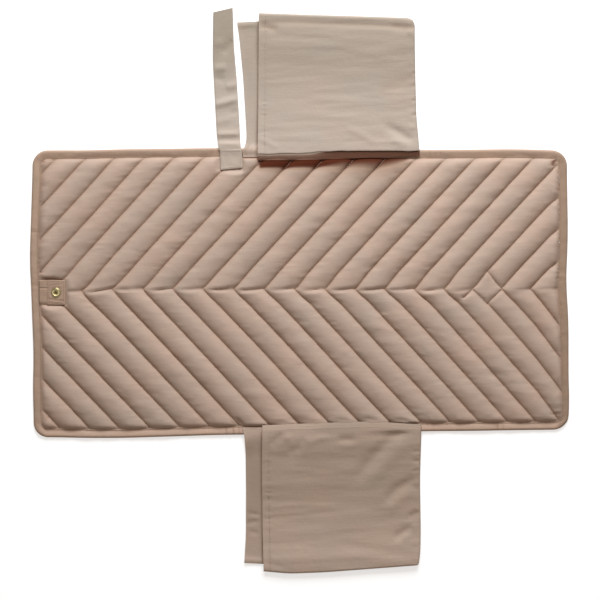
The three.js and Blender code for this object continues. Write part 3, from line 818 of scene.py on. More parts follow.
def quilt_top(x, y):
    """Height of the quilt's top at places on the straight-edged mat."""
    q = settings().quilt
    edge = draw_in(x, y)
    inside = inside_binding(x, y)
    bound = 2.15 * MM
    height = bound + (q.seam - bound) * eased(inside / (6 * MM))
    height = height + (q.crown - q.seam) * puff(x, y) * edge
    height += q.pucker * pucker(x, y) * edge
    lumps = 0.42 * MM * patchy(x / 0.034, y / 0.012, 11) + 0.3 * MM * patchy(x / 0.013, y / 0.03, 14)
    height += lumps * edge
    height += 0.2 * MM * patchy(x / 0.009, y / 0.007, 12) * edge
    at_end = np.abs(x) - HALF_LENGTH > np.abs(y) - HALF_WIDTH
    round_edge = np.where(at_end, y, x)
    gather = patchy(round_edge / (6.5 * MM), np.where(at_end, 3.0, 8.0) + np.sign(x + y), 13)
    height += 0.5 * MM * gather * bell(inside - 6 * MM, 4.5 * MM)
    height += folds(x, y, CORNER_TUCKS)
    # Pressed down under what is sewn on: the patch, the strap's end and both pockets
    for low, high in ((PATCH_LOW, PATCH_HIGH), (BASE_LOW, BASE_HIGH)):
        height = lower_of(height, low.z - 0.7 * MM + from_box(x, y, low, high) * 0.8)
    within = np.interp(x, HINGE_X, HINGE_Y) - y
    beside = np.maximum(-81 * MM - x, x - 168 * MM)
    height = lower_of(height, 5.6 * MM + 0.6 * np.maximum(np.maximum(within, beside), 0))
    within = y - np.interp(x, LOWER_EDGE_X, LOWER_EDGE_Y)
    beside = np.maximum(-52 * MM - x, x - 171 * MM)
    height = lower_of(height, 7.4 * MM + 0.45 * np.maximum(np.maximum(within, beside), 0))
    return np.where(inside < 0, bound, height)


def quilt_back(x, y):
    """Height of the back cover's underside: flat, and drawn up along the seams."""
    q = settings().quilt
    number = seam_number(x, y)
    across = np.clip(number - np.floor(number + 1e-4), 0, 1)
    dimple = q.dimple * (1 - np.sin(math.pi * across) ** 0.45) * draw_in(x, y)
    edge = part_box("back_cover_centre")[1].z - q.cloth
    inside = inside_binding(x, y)
    return np.maximum(dimple, edge * (1 - eased(inside / (2.2 * MM))))


def quilt_grid(name, low, high, columns, rows):
    """A flat grid cut to the mat, its columns along the seams, between two seam numbers."""
    q = settings().quilt
    mesh = grid_mesh(name, max(1, round((high - low) * columns)), rows)
    share = get_places(mesh)
    lower = round(rows * (HALF_WIDTH + q.spine) / (2 * HALF_WIDTH))
    row = np.round(share[:, 1] * rows)
    y = np.where(
        row <= lower,
        -HALF_WIDTH + (HALF_WIDTH + q.spine) * row / lower,
        q.spine + (HALF_WIDTH - q.spine) * (row - lower) / (rows - lower),
    )
    u = q.first_seam + q.pitch * (low + (high - low) * share[:, 0])
    set_places(mesh, np.column_stack((seam_place(u, y), y, np.zeros_like(y))))
    bm = bmesh.new()
    bm.from_mesh(mesh)
    cut = settings().binding.corner * 0.62
    reach_x, reach_y = HALF_LENGTH - 2.5 * MM, HALF_WIDTH - 2.5 * MM
    planes = [((reach_x, 0, 0), (1, 0, 0)), ((-reach_x, 0, 0), (-1, 0, 0))]
    planes += [((0, reach_y, 0), (0, 1, 0)), ((0, -reach_y, 0), (0, -1, 0))]
    for sx in (-1, 1):
        for sy in (-1, 1):
            planes.append(((sx * (reach_x - cut), sy * reach_y, 0), (sx, sy, 0)))
    for place, out in planes:
        bmesh.ops.bisect_plane(
            bm, geom=bm.verts[:] + bm.edges[:] + bm.faces[:], dist=CUT_NEAR, plane_co=place,
            plane_no=out, clear_outer=True,
        )
    if columns >= q.columns and high > DIAMOND_TURNS[0]:
        cut_overruns(bm)
    bmesh.ops.remove_doubles(bm, verts=bm.verts, dist=2e-5)
    return mesh_of(bm, mesh=mesh)


def cut_faces(bm, faces, place, out):
    """Cuts faces by a plane, and gives them back with the new ones."""
    faces = [f for f in faces if f.is_valid]
    edges, verts = {e for f in faces for e in f.edges}, {v for f in faces for v in f.verts}
    cut = bmesh.ops.bisect_plane(
        bm, geom=faces + list(edges) + list(verts), dist=CUT_NEAR, plane_co=place, plane_no=out
    )
    return [g for g in cut["geom"] if isinstance(g, bmesh.types.BMFace)]


def cut_overruns(bm):
    """Cuts the flat cloth along the short extra seams, so that their valleys come out sharp."""
    for start, end in overrun_seams():
        start, end = Vector((*start, 0)), Vector((*end, 0))
        across = (end - start).normalized().cross(Vector((0, 0, 1)))
        middle, reach = (start + end) / 2, (end - start).length / 2 + 4 * MM
        near = [f for f in bm.faces if (f.calc_center_median() - middle).length < reach]
        for step in (-6.5, -4.5, -3, -1.8, -0.9, -0.4, 0, 0.4, 0.9, 1.8, 3, 4.5, 6.5):
            near = cut_faces(bm, near, middle + across * step * MM, across)


def seam_range():
    """Seam numbers from the left end to the cut between the two cloth halves, and to the right end."""
    q = settings().quilt
    lean = (HALF_WIDTH + q.spine) / math.tan(q.angle)
    first = math.floor((-HALF_LENGTH - lean - q.first_seam) / q.pitch) - 1
    last = math.ceil((HALF_LENGTH - q.first_seam) / q.pitch) + 1
    middle = math.floor((-0.05 - q.first_seam) / q.pitch)
    return first, middle, last


def half_ranges():
    """The cloth's two halves, each with the seam numbers that it lies between."""
    first, middle, last = seam_range()
    return (("left", first, middle), ("right", middle, last))


# Where the cloth is cut across for its fold: from a place to another, with the number of cuts between them
LEFT_BEND = (LEFT_FOLD_X - 2.0 * MM, LEFT_FOLD_X + 2.2 * MM, 26)
RIGHT_BEND = (RIGHT_FOLD_X + 2.2 * MM, RIGHT_FOLD_X + 8 * MM, 24)
BENDS = {
    "left": ("mat_left", "mat_centre", LEFT_BEND),
    "right": ("mat_centre", "mat_right", RIGHT_BEND),
}
NODES_OF = {"left": ("left", "centre"), "right": ("right",)}


def cut_across(mesh, places, axis=0):
    """Cuts a mesh across x (or y) at each place, so that it can bend there."""
    bm = bmesh.new()
    bm.from_mesh(mesh)
    out = Vector((1, 0, 0)) if axis == 0 else Vector((0, 1, 0))
    low, high = min(places) - 4 * MM, max(places) + 4 * MM
    near = [f for f in bm.faces if low < f.calc_center_median()[axis] < high]
    for place in places:
        near = cut_faces(bm, near, out * place, out)
    mesh_of(bm, mesh=mesh).update()


def bend(made, half):
    """Cuts a finished piece across at the fold on its half of the mat, and bakes its place."""
    low, high, (start, end, cuts) = BENDS[half]
    cut_across(made.data, np.linspace(start, end, cuts))
    made.data.set_sharp_from_angle(angle=SHARP_ANGLE)
    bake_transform(made)


def add_painted_shade(made):
    """Keeps painted shade for the material: in the seams and tucks, along the snap patch's upper edge and
    under the upper pocket.
    """
    places = get_places(made.data)
    x, y = places[:, 0], places[:, 1]
    # Painted shade: darker down in the seams and in the tucks
    edge = np.maximum(draw_in(x, y), 0.8 * eased((-130 * MM - y) / (25 * MM)))
    depth = (1 - np.clip(puff(x, y) * edge, 0, 1)) ** 2.6 * 0.72
    tucked = np.clip(-folds(x, y, CORNER_TUCKS) / (1.1 * MM), 0, 0.88)
    # Painted shadow on the quilt along the snap patch's upper edge
    beside = eased((x - PATCH_LOW.x - 3 * MM) / (5 * MM)) * eased((PATCH_HIGH.x - x) / (2 * MM))
    over_patch = 0.93 * beside * bell(y - 19.5 * MM, 2.6 * MM)
    # Painted shadow on the quilt below the upper pocket's lower edge, as far as the tables above reach
    below = np.interp(x, HINGE_X, HINGE_Y) - as_laid(x, y)[1]
    dark, fade = (
        np.interp(x, SHADE_X, reach) * (0.85 + 0.6 * depth) for reach in (SHADE_REACH, SHADE_FADE)
    )
    at_line = bell(below, 1.2 * MM)
    under_pocket = (0.99 + 0.01 * at_line) * (1 - eased((below - dark) / fade)) * (dark > 0.2 * MM)
    depth = depth * (1 - 0.2 * eased((x - 0.12) / 0.1) * (y > 0))
    shade = np.maximum.reduce((depth, tucked, over_patch, under_pocket))
    keep_value(made.data, "seam_depth", shade)


def quilt_cover(kind, height, material, flats, columns, rows, flip=False):
    """Both halves of a cover of the quilt, cut across at the folds."""
    q = settings().quilt
    for (half, low, high), flat in zip(half_ranges(), flats):
        name = f"{kind}_{half}_cloth"
        mesh = quilt_grid(name, low, high, columns, rows)
        places = get_places(mesh)
        x, y = places[:, 0], places[:, 1]
        set_cloth_uv(mesh, np.column_stack((x, y)))
        set_places(mesh, np.column_stack((x, y, height(x, y))))
        if flip:
            mesh.flip_normals()
        made = mesh_object(name, mesh, finish(material))
        if not flip:
            add_painted_shade(made)
        places = get_places(made.data)
        laid_x, laid_y = as_laid(places[:, 0], places[:, 1])
        set_places(made.data, np.column_stack((laid_x, laid_y, places[:, 2])))
        thicken(made, q.cloth)
        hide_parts(*[f"{kind}_{part}" for part in NODES_OF[half]])
        bend(made, half)


class MakeQuiltTop(bpy.types.Operator):
    """The quilted top: one cotton cover, sewn through in chevrons"""

    bl_idname = "changing_mat.quilt_top"
    bl_label = "Quilted top"

    def execute(self, context):
        q = settings().quilt
        quilt_cover("top_cover", quilt_top, "quilt_weave", TOP_FLAT, q.columns, q.rows)
        return {"FINISHED"}


class MakeBackCover(bpy.types.Operator):
    """The plain back cover, drawn in a little along the sewn channels"""

    bl_idname = "changing_mat.back_cover"
    bl_label = "Back cover"

    def execute(self, context):
        q = settings().quilt
        quilt_cover(
            "back_cover", quilt_back, "back_weave", BACK_FLAT,
            q.columns // 2, q.rows // 2, flip=True,
        )
        return {"FINISHED"}


class MakeWadding(bpy.types.Operator):
    """The wadding between the covers, pressed thin along the seams"""

    bl_idname = "changing_mat.wadding"
    bl_label = "Wadding"

    def execute(self, context):
        q = settings().quilt
        for half, low, high in half_ranges():
            name = f"wadding_fibre_{half}"
            mesh = quilt_grid(name, low, high, q.columns // 2, q.rows // 2)
            bm = bmesh.new()
            bm.from_mesh(mesh)
            lower = bmesh.ops.duplicate(bm, geom=bm.verts[:] + bm.edges[:] + bm.faces[:])["geom"]
            lower_verts = [v for v in lower if isinstance(v, bmesh.types.BMVert)]
            lower_faces = [f for f in lower if isinstance(f, bmesh.types.BMFace)]
            bmesh.ops.translate(bm, verts=lower_verts, vec=(0, 0, -1))
            bmesh.ops.reverse_faces(bm, faces=lower_faces)
            edges = [e for e in bm.edges if e.is_boundary]
            bmesh.ops.bridge_loops(bm, edges=edges)
            places = get_places(mesh_of(bm, mesh=mesh))
            x, y = places[:, 0], places[:, 1]
            gap = 0.25 * MM
            near = [(dx * 2.2 * MM, dy * 2.2 * MM) for dx in (-1, 0, 1) for dy in (-1, 0, 1)]
            high_z = np.min([quilt_top(x + dx, y + dy) for dx, dy in near], axis=0) - q.cloth - gap
            high_z -= 1.1 * MM * np.exp(-np.maximum(inside_binding(x, y), 0) / (5 * MM))
            high_z -= 1.4 * MM * np.exp(-((np.hypot(x - DIAMOND_NEAR, y - 5 * MM) / (32 * MM)) ** 4))
            low_z = quilt_back(x, y) + q.cloth + gap
            thin = np.maximum(high_z - low_z, 0.25 * MM)
            z = np.where(places[:, 2] < -0.5, low_z, low_z + thin)
            laid_x, laid_y = as_laid(x, y)
            set_places(mesh, np.column_stack((laid_x, laid_y, z)))
            made = mesh_object(name, mesh, finish("wadding_fibre"))
            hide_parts(*[f"wadding_{part}" for part in NODES_OF[half]])
            bend(made, half)
        return {"FINISHED"}


# Edge binding

def outline_runs():
    """The mat's outline from the binding's join, anticlockwise: each run's length, place and turn."""
    b = settings().binding
    cx, cy = HALF_LENGTH - b.corner, HALF_WIDTH - b.corner
    quarter = b.corner * math.pi / 2
    return (
        (cx + b.join, "line", (b.join, HALF_WIDTH), (-1, 0)),
        (quarter, "turn", (-cx, cy), 90),
        (2 * cy, "line", (-HALF_LENGTH, cy), (0, -1)),
        (quarter, "turn", (-cx, -cy), 180),
        (cx + b.join, "line", (-cx, -HALF_WIDTH), (1, 0)),
        (cx - b.join, "line", (b.join, -HALF_WIDTH), (1, 0)),
        (quarter, "turn", (cx, -cy), 270),
        (2 * cy, "line", (HALF_LENGTH, -cy), (0, 1)),
        (quarter, "turn", (cx, cy), 0),
        (cx - b.join, "line", (cx, HALF_WIDTH), (-1, 0)),
    )


def outline_half_length(half):
    """How long the binding is on one half of the mat."""
    runs = outline_runs()
    chosen = runs[:5] if half == "left" else runs[5:]
    return sum(run[0] for run in chosen)


def outline_at(distance, inset):
    """The place at a distance round the outline, moved in by inset."""
    b = settings().binding
    distance = np.asarray(distance, float)
    x, y = np.zeros_like(distance), np.zeros_like(distance)
    start = 0.0
    for run, kind, place, turn in outline_runs():
        here = (distance >= start - 1e-9) & (distance <= start + run + 1e-9)
        along = np.clip(distance - start, 0, run)
        if kind == "line":
            out = (turn[1], -turn[0])
            px = place[0] + turn[0] * along - out[0] * inset
            py = place[1] + turn[1] * along - out[1] * inset
        else:
            angle = math.radians(turn) + along / b.corner
            px = place[0] + np.cos(angle) * (b.corner - inset)
            py = place[1] + np.sin(angle) * (b.corner - inset)
        x, y = np.where(here, px, x), np.where(here, py, y)
        start += run
    return x, y


# The binding's section from its inner edge on top, round the mat's edge, to the floor: how far in
# and how high
BINDING_SECTION = np.array((
    (12.4, 2.35), (12.3, 2.7), (11.8, 2.9), (11.1, 2.85), (10.5, 2.6), (9.8, 2.85), (8.4, 3.3), (6.6, 3.85),
    (4.6, 4.3), (2.9, 4.45), (1.5, 3.95), (0.6, 3.05), (0.1, 1.9), (0.3, 1.0), (1.2, 0.35), (3.0, 0.08),
    (6.0, 0.0), (9.0, 0.0), (12.0, 0.0),
)) * MM

# Where the binding is pinched: metres from its join, with depth and width in millimetres
BINDING_PINCHES = (
    (0.168, 1.6, 2.6), (0.161, 0.8, 2.2), (0.525, 1.8, 1.8), (0.592, 0.8, 2.2), (0.600, 0.9, 2.0),
    (0.609, 0.7, 2.2), (2.111, 1.3, 2.6), (2.119, 0.8, 2.2), (2.126, 1.1, 2.4), (1.453, 1.3, 2.2),
    (1.461, 0.8, 2.2), (1.074, 1.0, 2.0), (1.084, 1.4, 2.2), (1.092, 0.9, 1.8),
)
# The binding's row of stitches: how far in and how high it lies
BINDING_SEAM = (10.6 * MM, 2.78 * MM)


def binding_section(a):
    """How far in and how high the binding is, at a share of the way round its section."""
    steps = np.arange(len(BINDING_SECTION))
    return [np.interp(a * steps[-1], steps, BINDING_SECTION[:, i]) for i in (0, 1)]


def binding_shape(first, run):
    """The shape of a length of binding, from a distance round the outline."""
    b = settings().binding

    def shape(a, d):
        distance = first + run * d
        inset, z = binding_section(a)
        upper = eased((z - 1.2 * MM) / (2 * MM))
        plump = patchy(distance / 0.022, 1, 21) + 0.6 * patchy(distance / 0.008, 2, 22)
        z = z + upper * b.wobble * plump * eased((12 * MM - inset) / (5 * MM)) * 0.8
        gather = patchy(distance / (4.4 * MM), 3, 23) * eased((inset - 4.5 * MM) / (4 * MM))
        often = 0.5 + 0.5 * patchy(distance / 0.06, 5, 25)
        z = z + upper * 0.42 * MM * gather * often * eased((11.6 * MM - inset) / (1.5 * MM))
        for place, depth, width in BINDING_PINCHES:
            near = bell(distance - place, width * MM)
            z = z - upper * depth * MM * near * eased((11 * MM - inset) / (6 * MM)) * 0.6
        inset = inset + 0.7 * b.wobble * patchy(distance / 0.03, 4, 24) * eased(inset / (8 * MM))
        x, y = outline_at(distance, inset)
        # Pressed down under both pockets
        pressed = eased((x + 0.079) / 0.008) * eased((0.171 - x) / 0.008) * (np.abs(y) > 0.18)
        z = z - pressed * np.maximum(z - 3.1 * MM, 0) * 0.9
        x, y = as_laid(x, y)
        return x, y, np.maximum(z, 0)

    return shape


def binding_tones(first, run):
    """Painted shade: darker along the stitches, in the pinches and on the sides that are far from the
    window.
    """
    def tones(a, d, x, y, z):
        inset, _ = binding_section(a)
        sewn = (0.75 - 0.3 * (y < -0.17)) * bell(inset - 10.9 * MM, 1.3 * MM)
        pinched = np.zeros_like(a)
        for place, depth, width in BINDING_PINCHES:
            near = bell(first + run * d - place, width * 0.8 * MM)
            pinched = np.maximum(pinched, near * depth * 0.55 * eased(inset / (4 * MM)))
        right, left = eased((x - 0.355) / 0.012), eased((-0.355 - x) / 0.012)
        below = 0.17 * eased((x - 0.15) / 0.1)
        open_top = 1 - eased((x + 0.06) / 0.01) * eased((0.168 - x) / 0.004)
        above = 0.485 * eased((y - 0.17) / 0.02) * open_top
        away = np.maximum.reduce((0.86 * right, 0.56 * left, above, below))
        return {"seam_depth": np.maximum(sewn, np.minimum(pinched, 0.88)), "far_shade": away}

    return tones


class MakeBinding(bpy.types.Operator):
    """The folded strip of cotton that binds the mat's edge"""

    bl_idname = "changing_mat.edge_binding"
    bl_label = "Edge binding"

    def execute(self, context):
        b = settings().binding
        start = 0.0
        for half, nodes in (("left", ("left", "top")), ("right", ("right", "bottom"))):
            run = outline_half_length(half)
            made = cloth(
                f"edge_binding_{half}_cloth", 30, round(run / (2.6 * MM)), binding_shape(start, run),
                (BINDING_FLAT, run), finish("binding_weave"), b.cloth, tones=binding_tones(start, run),
            )
            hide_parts(*[f"edge_binding_{node}" for node in nodes])
            bend(made, half)
            start += run
        return {"FINISHED"}


# Sewing thread

# One stitch: shares of its length, and how high the thread is there
STITCH_BEATS = np.array((0.0, 0.14, 0.26, 0.5, 0.74, 0.86))
STITCH_LIFTS = np.array((-0.9, -0.3, 0.85, 1.0, 0.85, -0.3))
THREAD_SIDES = 5


def add_thread(bm, path, height):
    """One row of stitches along a path: the thread rises over the cloth and dips through it."""
    t = settings().thread
    path = np.asarray(path, float)
    steps = np.hypot(*np.diff(path, axis=0).T)
    far = np.concatenate(([0], np.cumsum(steps)))
    stitches = max(1, int(far[-1] / t.stitch))
    beats = (np.arange(stitches)[:, None] + STITCH_BEATS[None, :]).ravel()
    beats = np.append(beats, stitches)
    lifts = np.append(np.tile(STITCH_LIFTS, stitches), STITCH_LIFTS[0])
    at = beats * far[-1] / stitches
    x, y = np.interp(at, far, path[:, 0]), np.interp(at, far, path[:, 1])
    z = height(x, y) + t.radius * (0.35 + 1.5 * lifts)
    dx, dy = np.gradient(x), np.gradient(y)
    long = np.hypot(dx, dy)
    side_x, side_y = -dy / long, dx / long
    first = len(bm.verts)
    bmesh.ops.create_grid(bm, x_segments=THREAD_SIDES, y_segments=len(at) - 1, size=0.5)
    bm.verts.ensure_lookup_table()
    verts = bm.verts[first:]
    for vert in verts:
        turn = (vert.co.x + 0.5) * 2 * math.pi
        row = round((vert.co.y + 0.5) * (len(at) - 1))
        out, up = math.cos(turn) * t.radius * 1.15, math.sin(turn) * t.radius
        vert.co = (x[row] + side_x[row] * out, y[row] + side_y[row] * out, z[row] + up)


def thread_object(name, rows, thread="sewing_thread"):
    """A piece of thread from rows, each a path on the plan and a height function."""
    bm = bmesh.new()
    for path, height in rows:
        add_thread(bm, path, height)
    bmesh.ops.remove_doubles(bm, verts=bm.verts, dist=2e-6)
    # No stitches in the folds, where they would stretch
    bent = []
    for start, end, _ in (LEFT_BEND, RIGHT_BEND):
        for face in bm.faces:
            if start < face.calc_center_median().x < end and abs(face.verts[0].co.y) < 0.202:
                bent.append(face)
    bmesh.ops.delete(bm, geom=bent, context="FACES")
    ends = [e for e in bm.edges if e.is_boundary]
    bmesh.ops.holes_fill(bm, edges=ends, sides=0)
    bmesh.ops.recalc_face_normals(bm, faces=bm.faces)
    mesh = mesh_of(bm, name)
    places = get_places(mesh)
    set_cloth_uv(mesh, np.column_stack((places[:, 0] + places[:, 2], places[:, 1] - places[:, 2])))
    return mesh_object(name, mesh, finish(thread))


def seam_path(number, side):
    """The plan of one seam from the spine to the binding, or None where it lies outside the mat."""
    q = settings().quilt
    y = np.linspace(q.spine, side * HALF_WIDTH, 240)
    u = q.first_seam + q.pitch * number
    x = seam_place(np.full_like(y, u), y)
    kept = inside_binding(x, y) > -1.5 * MM
    if kept.sum() < 6:
        return None
    return np.column_stack((x[kept], y[kept]))


def laid_top(x, y):
    """Height of the quilt's top at places as the mat lies."""
    flat_x, flat_y = x, y
    for _ in range(3):
        laid_x, laid_y = as_laid(flat_x, flat_y)
        flat_x, flat_y = flat_x + x - laid_x, flat_y + y - laid_y
    return quilt_top(flat_x, flat_y)


class MakeQuiltingThread(bpy.types.Operator):
    """Stitches along every seam of the quilting and along the binding"""

    bl_idname = "changing_mat.quilting_thread"
    bl_label = "Quilting thread"

    def execute(self, context):
        first, middle, last = seam_range()
        for half, low, high in (("left", first, middle), ("right", middle + 1, last)):
            rows = []
            for number in range(low, high + 1):
                for side in (-1, 1):
                    path = seam_path(number, side)
                    if path is not None:
                        rows.append((np.column_stack(as_laid(*path.T)), laid_top))
            if half == "right":
                for start, end in overrun_seams():
                    path = np.linspace(start, end, 40)
                    rows.append((np.column_stack(as_laid(*path.T)), laid_top))
            made = thread_object(f"quilting_thread_{half}", rows)
            bend(made, half)
        start = 0.0
        for half in ("left", "right"):
            run = outline_half_length(half)
            distance = np.linspace(start, start + run, round(run / (1.2 * MM)))
            path = np.column_stack(as_laid(*outline_at(distance, BINDING_SEAM[0])))
            made = thread_object(
                f"binding_thread_{half}", [(path, lambda x, y: np.full_like(x, BINDING_SEAM[1]))]
            )
            bend(made, half)
            start += run
        return {"FINISHED"}


# Snap patch and strap base

def rounded(a, b, half_x, half_y, radius):
    """Puts a grid's square into a rectangle with round corners."""
    px, py = (2 * a - 1) * half_x, (2 * b - 1) * half_y
    over_x = np.clip((np.abs(px) - (half_x - radius)) / radius, 0, 1)
    over_y = np.clip((np.abs(py) - (half_y - radius)) / radius, 0, 1)
    round_x = over_x * np.sqrt(1 - over_y * over_y / 2)
    round_y = over_y * np.sqrt(1 - over_x * over_x / 2)
    qx = np.where(over_x > 0, np.sign(px) * (half_x - radius + radius * round_x), px)
    qy = np.where(over_y > 0, np.sign(py) * (half_y - radius + radius * round_y), py)
    return qx, qy


def from_rim(a, b, half_x, half_y):
    """Distance in from the sides of a patch."""
    return np.minimum((1 - np.abs(2 * a - 1)) * half_x, (1 - np.abs(2 * b - 1)) * half_y)


def rim_drop(a, b, half_x, half_y, soft):
    """1 over a patch, falling to 0 along a rounded rim."""
    return quarter_round(from_rim(a, b, half_x, half_y) / soft)


# The snap patch: half its length and width, and how far in from its rim it is sewn
PATCH_HALF_X, PATCH_HALF_Y = 12.9 * MM, 17.6 * MM
PATCH_SEAM = 2.6 * MM
PATCH_CREASES = ((-352, -9, -329, -12.5, -0.5, 1.4), (-350, 9.5, -331, 12, -0.35, 1.2))


def patch_top(x, y):
    """Height of the snap patch: a doubled cloth with a sewn rim, pressed in round the snap."""
    cx, cy = SNAP_PLACE
    from_snap = np.hypot(x - cx, y - cy)
    height = PATCH_HIGH.z + 0.5 * MM * bell(from_snap - 11 * MM, 5 * MM)
    height -= 0.55 * MM * np.exp(-((from_snap / (7.5 * MM)) ** 4))
    spokes = np.arctan2(y - cy, x - cx)
    height += 0.16 * MM * patchy(spokes * 2.4, 0, 31) * bell(from_snap - 10 * MM, 4 * MM)
    height += 0.22 * MM * patchy(x / 0.008, y / 0.006, 32)
    return height + folds(x, y, PATCH_CREASES)


class MakeSnapPatch(bpy.types.Operator):
    """The doubled patch that carries the snap, with its neck under the binding's edge"""

    bl_idname = "changing_mat.snap_patch"
    bl_label = "Snap patch"

    def execute(self, context):
        s = settings().strap
        cotton_cloth = finish("binding_weave")
        half_x, half_y = PATCH_HALF_X, PATCH_HALF_Y
        centre_x = PATCH_HIGH.x - half_x

        def plate(a, b):
            qx, qy = rounded(a, b, half_x, half_y, 2.4 * MM)
            x = centre_x + qx + 0.5 * MM * patchy(qy / 0.012, 0, 33) * (qx > 0)
            y = qy - 0.2 * MM + 0.4 * MM * patchy(qx / 0.011, 1, 34)
            rim = rim_drop(a, b, half_x, half_y, 1.5 * MM)
            groove = 0.3 * MM * bell(from_rim(a, b, half_x, half_y) - PATCH_SEAM, 0.9 * MM)
            low = PATCH_LOW.z + 0.5 * MM
            return x, y, low + (patch_top(x, y) - groove - low) * rim

        def shaded(a, b, x, y, z):
            return {"far_shade": np.full_like(a, 0.645)}

        made = cloth("snap_patch_cloth", 52, 68, plate, PATCH_FLAT, cotton_cloth, s.patch * 0.42, shaded)
        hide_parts("snap_patch")
        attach(made, "mat_left")

        def neck(a, b):
            x = PATCH_LOW.x - 1.2 * MM + a * 13.5 * MM
            y = -18.2 * MM + b * 35.4 * MM + 0.3 * MM * patchy(a * 3, b * 2, 35)
            crease = 0.8 * MM * bell(y - 5.9 * MM, 0.9 * MM)
            bulge = 0.5 * MM * np.sin(math.pi * np.clip(a, 0, 1))
            z = PATCH_LOW.z + 1.25 * MM + bulge - crease + 0.15 * MM * patchy(x / 0.004, y / 0.005, 36)
            z -= 0.9 * MM * (1 - rim_drop(a, b, 6.7 * MM, 17 * MM, 1.3 * MM))
            z -= 1.6 * MM * eased((0.16 - b) / 0.16)
            return x, y, z

        made = cloth("snap_patch_neck", 20, 48, neck, NECK_FLAT, cotton_cloth, s.patch * 0.4, shaded)
        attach(made, "mat_left")

        loop = closed_path(np.array(((-1, -1), (1, -1), (1, 1), (-1, 1), (-1, -1)), float), 40)
        path = loop * (half_x - PATCH_SEAM, half_y - PATCH_SEAM) + (centre_x, 0)
        made = thread_object("snap_patch_thread", [(path, lambda x, y: patch_top(x, y) - 0.3 * MM)])
        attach(made, "mat_left")
        return {"FINISHED"}


# Snaps

def turned(name, profile, centre, body, node, metal="snap_brass", upside_down=False):
    """A part of the snap, turned from its profile."""
    bm = bmesh.new()
    verts = [bm.verts.new((radius * MM, 0, height * MM)) for radius, height in profile]
    edges = [bm.edges.new(pair) for pair in zip(verts, verts[1:])]
    bmesh.ops.spin(
        bm, geom=verts + edges, cent=(0, 0, 0), axis=(0, 0, 1), angle=2 * math.pi,
        steps=TURNED_SIDES, use_merge=True,
    )
    bmesh.ops.remove_doubles(bm, verts=bm.verts, dist=1e-6)
    if upside_down:
        over = Matrix.Rotation(math.pi, 3, "X")
        bmesh.ops.rotate(bm, verts=bm.verts, cent=(0, 0, 0), matrix=over)
    bmesh.ops.translate(bm, verts=bm.verts, vec=centre)
    bmesh.ops.recalc_face_normals(bm, faces=bm.faces)
    mesh = mesh_of(bm, name)
    places = get_places(mesh)
    radius = np.hypot(places[:, 0] - centre[0], places[:, 1] - centre[1])
    # Painted shade and reflection: darker outside and inside the ring, and on its side towards the window
    upper = 0.85 * eased((places[:, 1] - centre[1] - 1.8 * MM) / (1.8 * MM)) * (radius > 3.6 * MM)
    rim = eased((radius - 4.9 * MM) / (0.5 * MM)) + 0.8 * eased((3.6 * MM - radius) / (0.4 * MM))
    keep_value(mesh, "brass_shade", rim + upper)
    made = mesh_object(name, mesh, finish(metal))
    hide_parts(node)
    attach(made, body)


# Profiles of the snap's parts: radius and height, in millimetres
TURNED_SIDES = 64
SOCKET_PROFILE = (
    (2.0, 0.3), (2.0, 0.0), (6.6, 0.0), (6.8, 0.15), (6.8, 0.35), (6.6, 0.55), (6.1, 0.7), (5.6, 0.9),
    (5.35, 1.3), (5.2, 1.75), (4.9, 2.1), (4.45, 2.2), (4.05, 2.1), (3.8, 1.8), (3.65, 1.3), (3.5, 0.95),
    (3.2, 0.75), (2.8, 0.7), (2.4, 0.7), (2.0, 0.7), (2.0, 0.3),
)
POST_PROFILE = (
    (0.0, 0.0), (5.3, 0.0), (5.5, 0.15), (5.5, 0.45), (5.3, 0.6), (1.95, 0.6), (1.95, 2.75), (1.85, 3.0),
    (1.5, 3.2), (0.9, 3.3), (0.45, 3.22), (0.0, 3.2),
)
STUD_PROFILE = (
    (2.2, 0.0), (6.6, 0.0), (6.8, 0.2), (6.7, 0.5), (6.2, 0.7), (4.4, 0.8), (3.1, 0.85), (2.75, 1.1),
    (2.85, 1.4), (3.1, 1.75), (3.0, 2.1), (2.7, 2.35), (2.45, 2.4), (2.2, 2.3), (2.2, 0.0),
)
STUD_POST_PROFILE = (
    (0.0, 0.0), (5.3, 0.0), (5.5, 0.15), (5.5, 0.45), (5.3, 0.6), (1.95, 0.6), (1.95, 2.9), (1.7, 3.2),
    (1.2, 3.35), (0.6, 3.3), (0.0, 3.25),
)


class MakeSnaps(bpy.types.Operator):
    """The brass socket on the patch, the stud on the strap and the posts that hold them"""

    bl_idname = "changing_mat.snaps"
    bl_label = "Snaps"

    def execute(self, context):
        socket, stud = (*SNAP_PLACE, SNAP_LOW.z), (*STUD_PLACE, STUD_HIGH.z)
        post = (*SNAP_PLACE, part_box("snap_washer")[0].z)
        stud_post = (*STUD_PLACE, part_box("strap_washer")[1].z)
        turned("snap_socket_brass", SOCKET_PROFILE, socket, "mat_left", "snap_socket")
        # The post's brass is dark: painted shade for the socket's hollow
        turned("snap_post_brass", POST_PROFILE, post, "mat_left", "snap_washer", metal="hollow_shade_brass")
        turned("strap_stud_brass", STUD_PROFILE, stud, "strap", "strap_stud", upside_down=True)
        turned("strap_post_brass", STUD_POST_PROFILE, stud_post, "strap", "strap_washer", upside_down=True)
        return {"FINISHED"}


# Strap

STRAP_LEFT = np.array((
    (-112.9, 199.4), (-114.3, 211), (-115.7, 220.8), (-119.6, 290.9), (-121.3, 326), (-120.6, 391.9),
)) * MM
STRAP_RIGHT = np.array((
    (-81.3, 199.4), (-82.7, 211), (-84.1, 241.8), (-87.6, 297.9), (-91.8, 347), (-93.2, 398.2),
)) * MM
# Distance from the root and height of the strap's underside, in millimetres
STRAP_DRAPE = np.array((
    (0, 3.9), (3, 3.9), (7, 3.0), (12, 1.2), (18, 0.6), (60, 0.5), (100, 0.5), (140, 1.6), (172, 3.0),
    (200, 4.0),
)) * MM
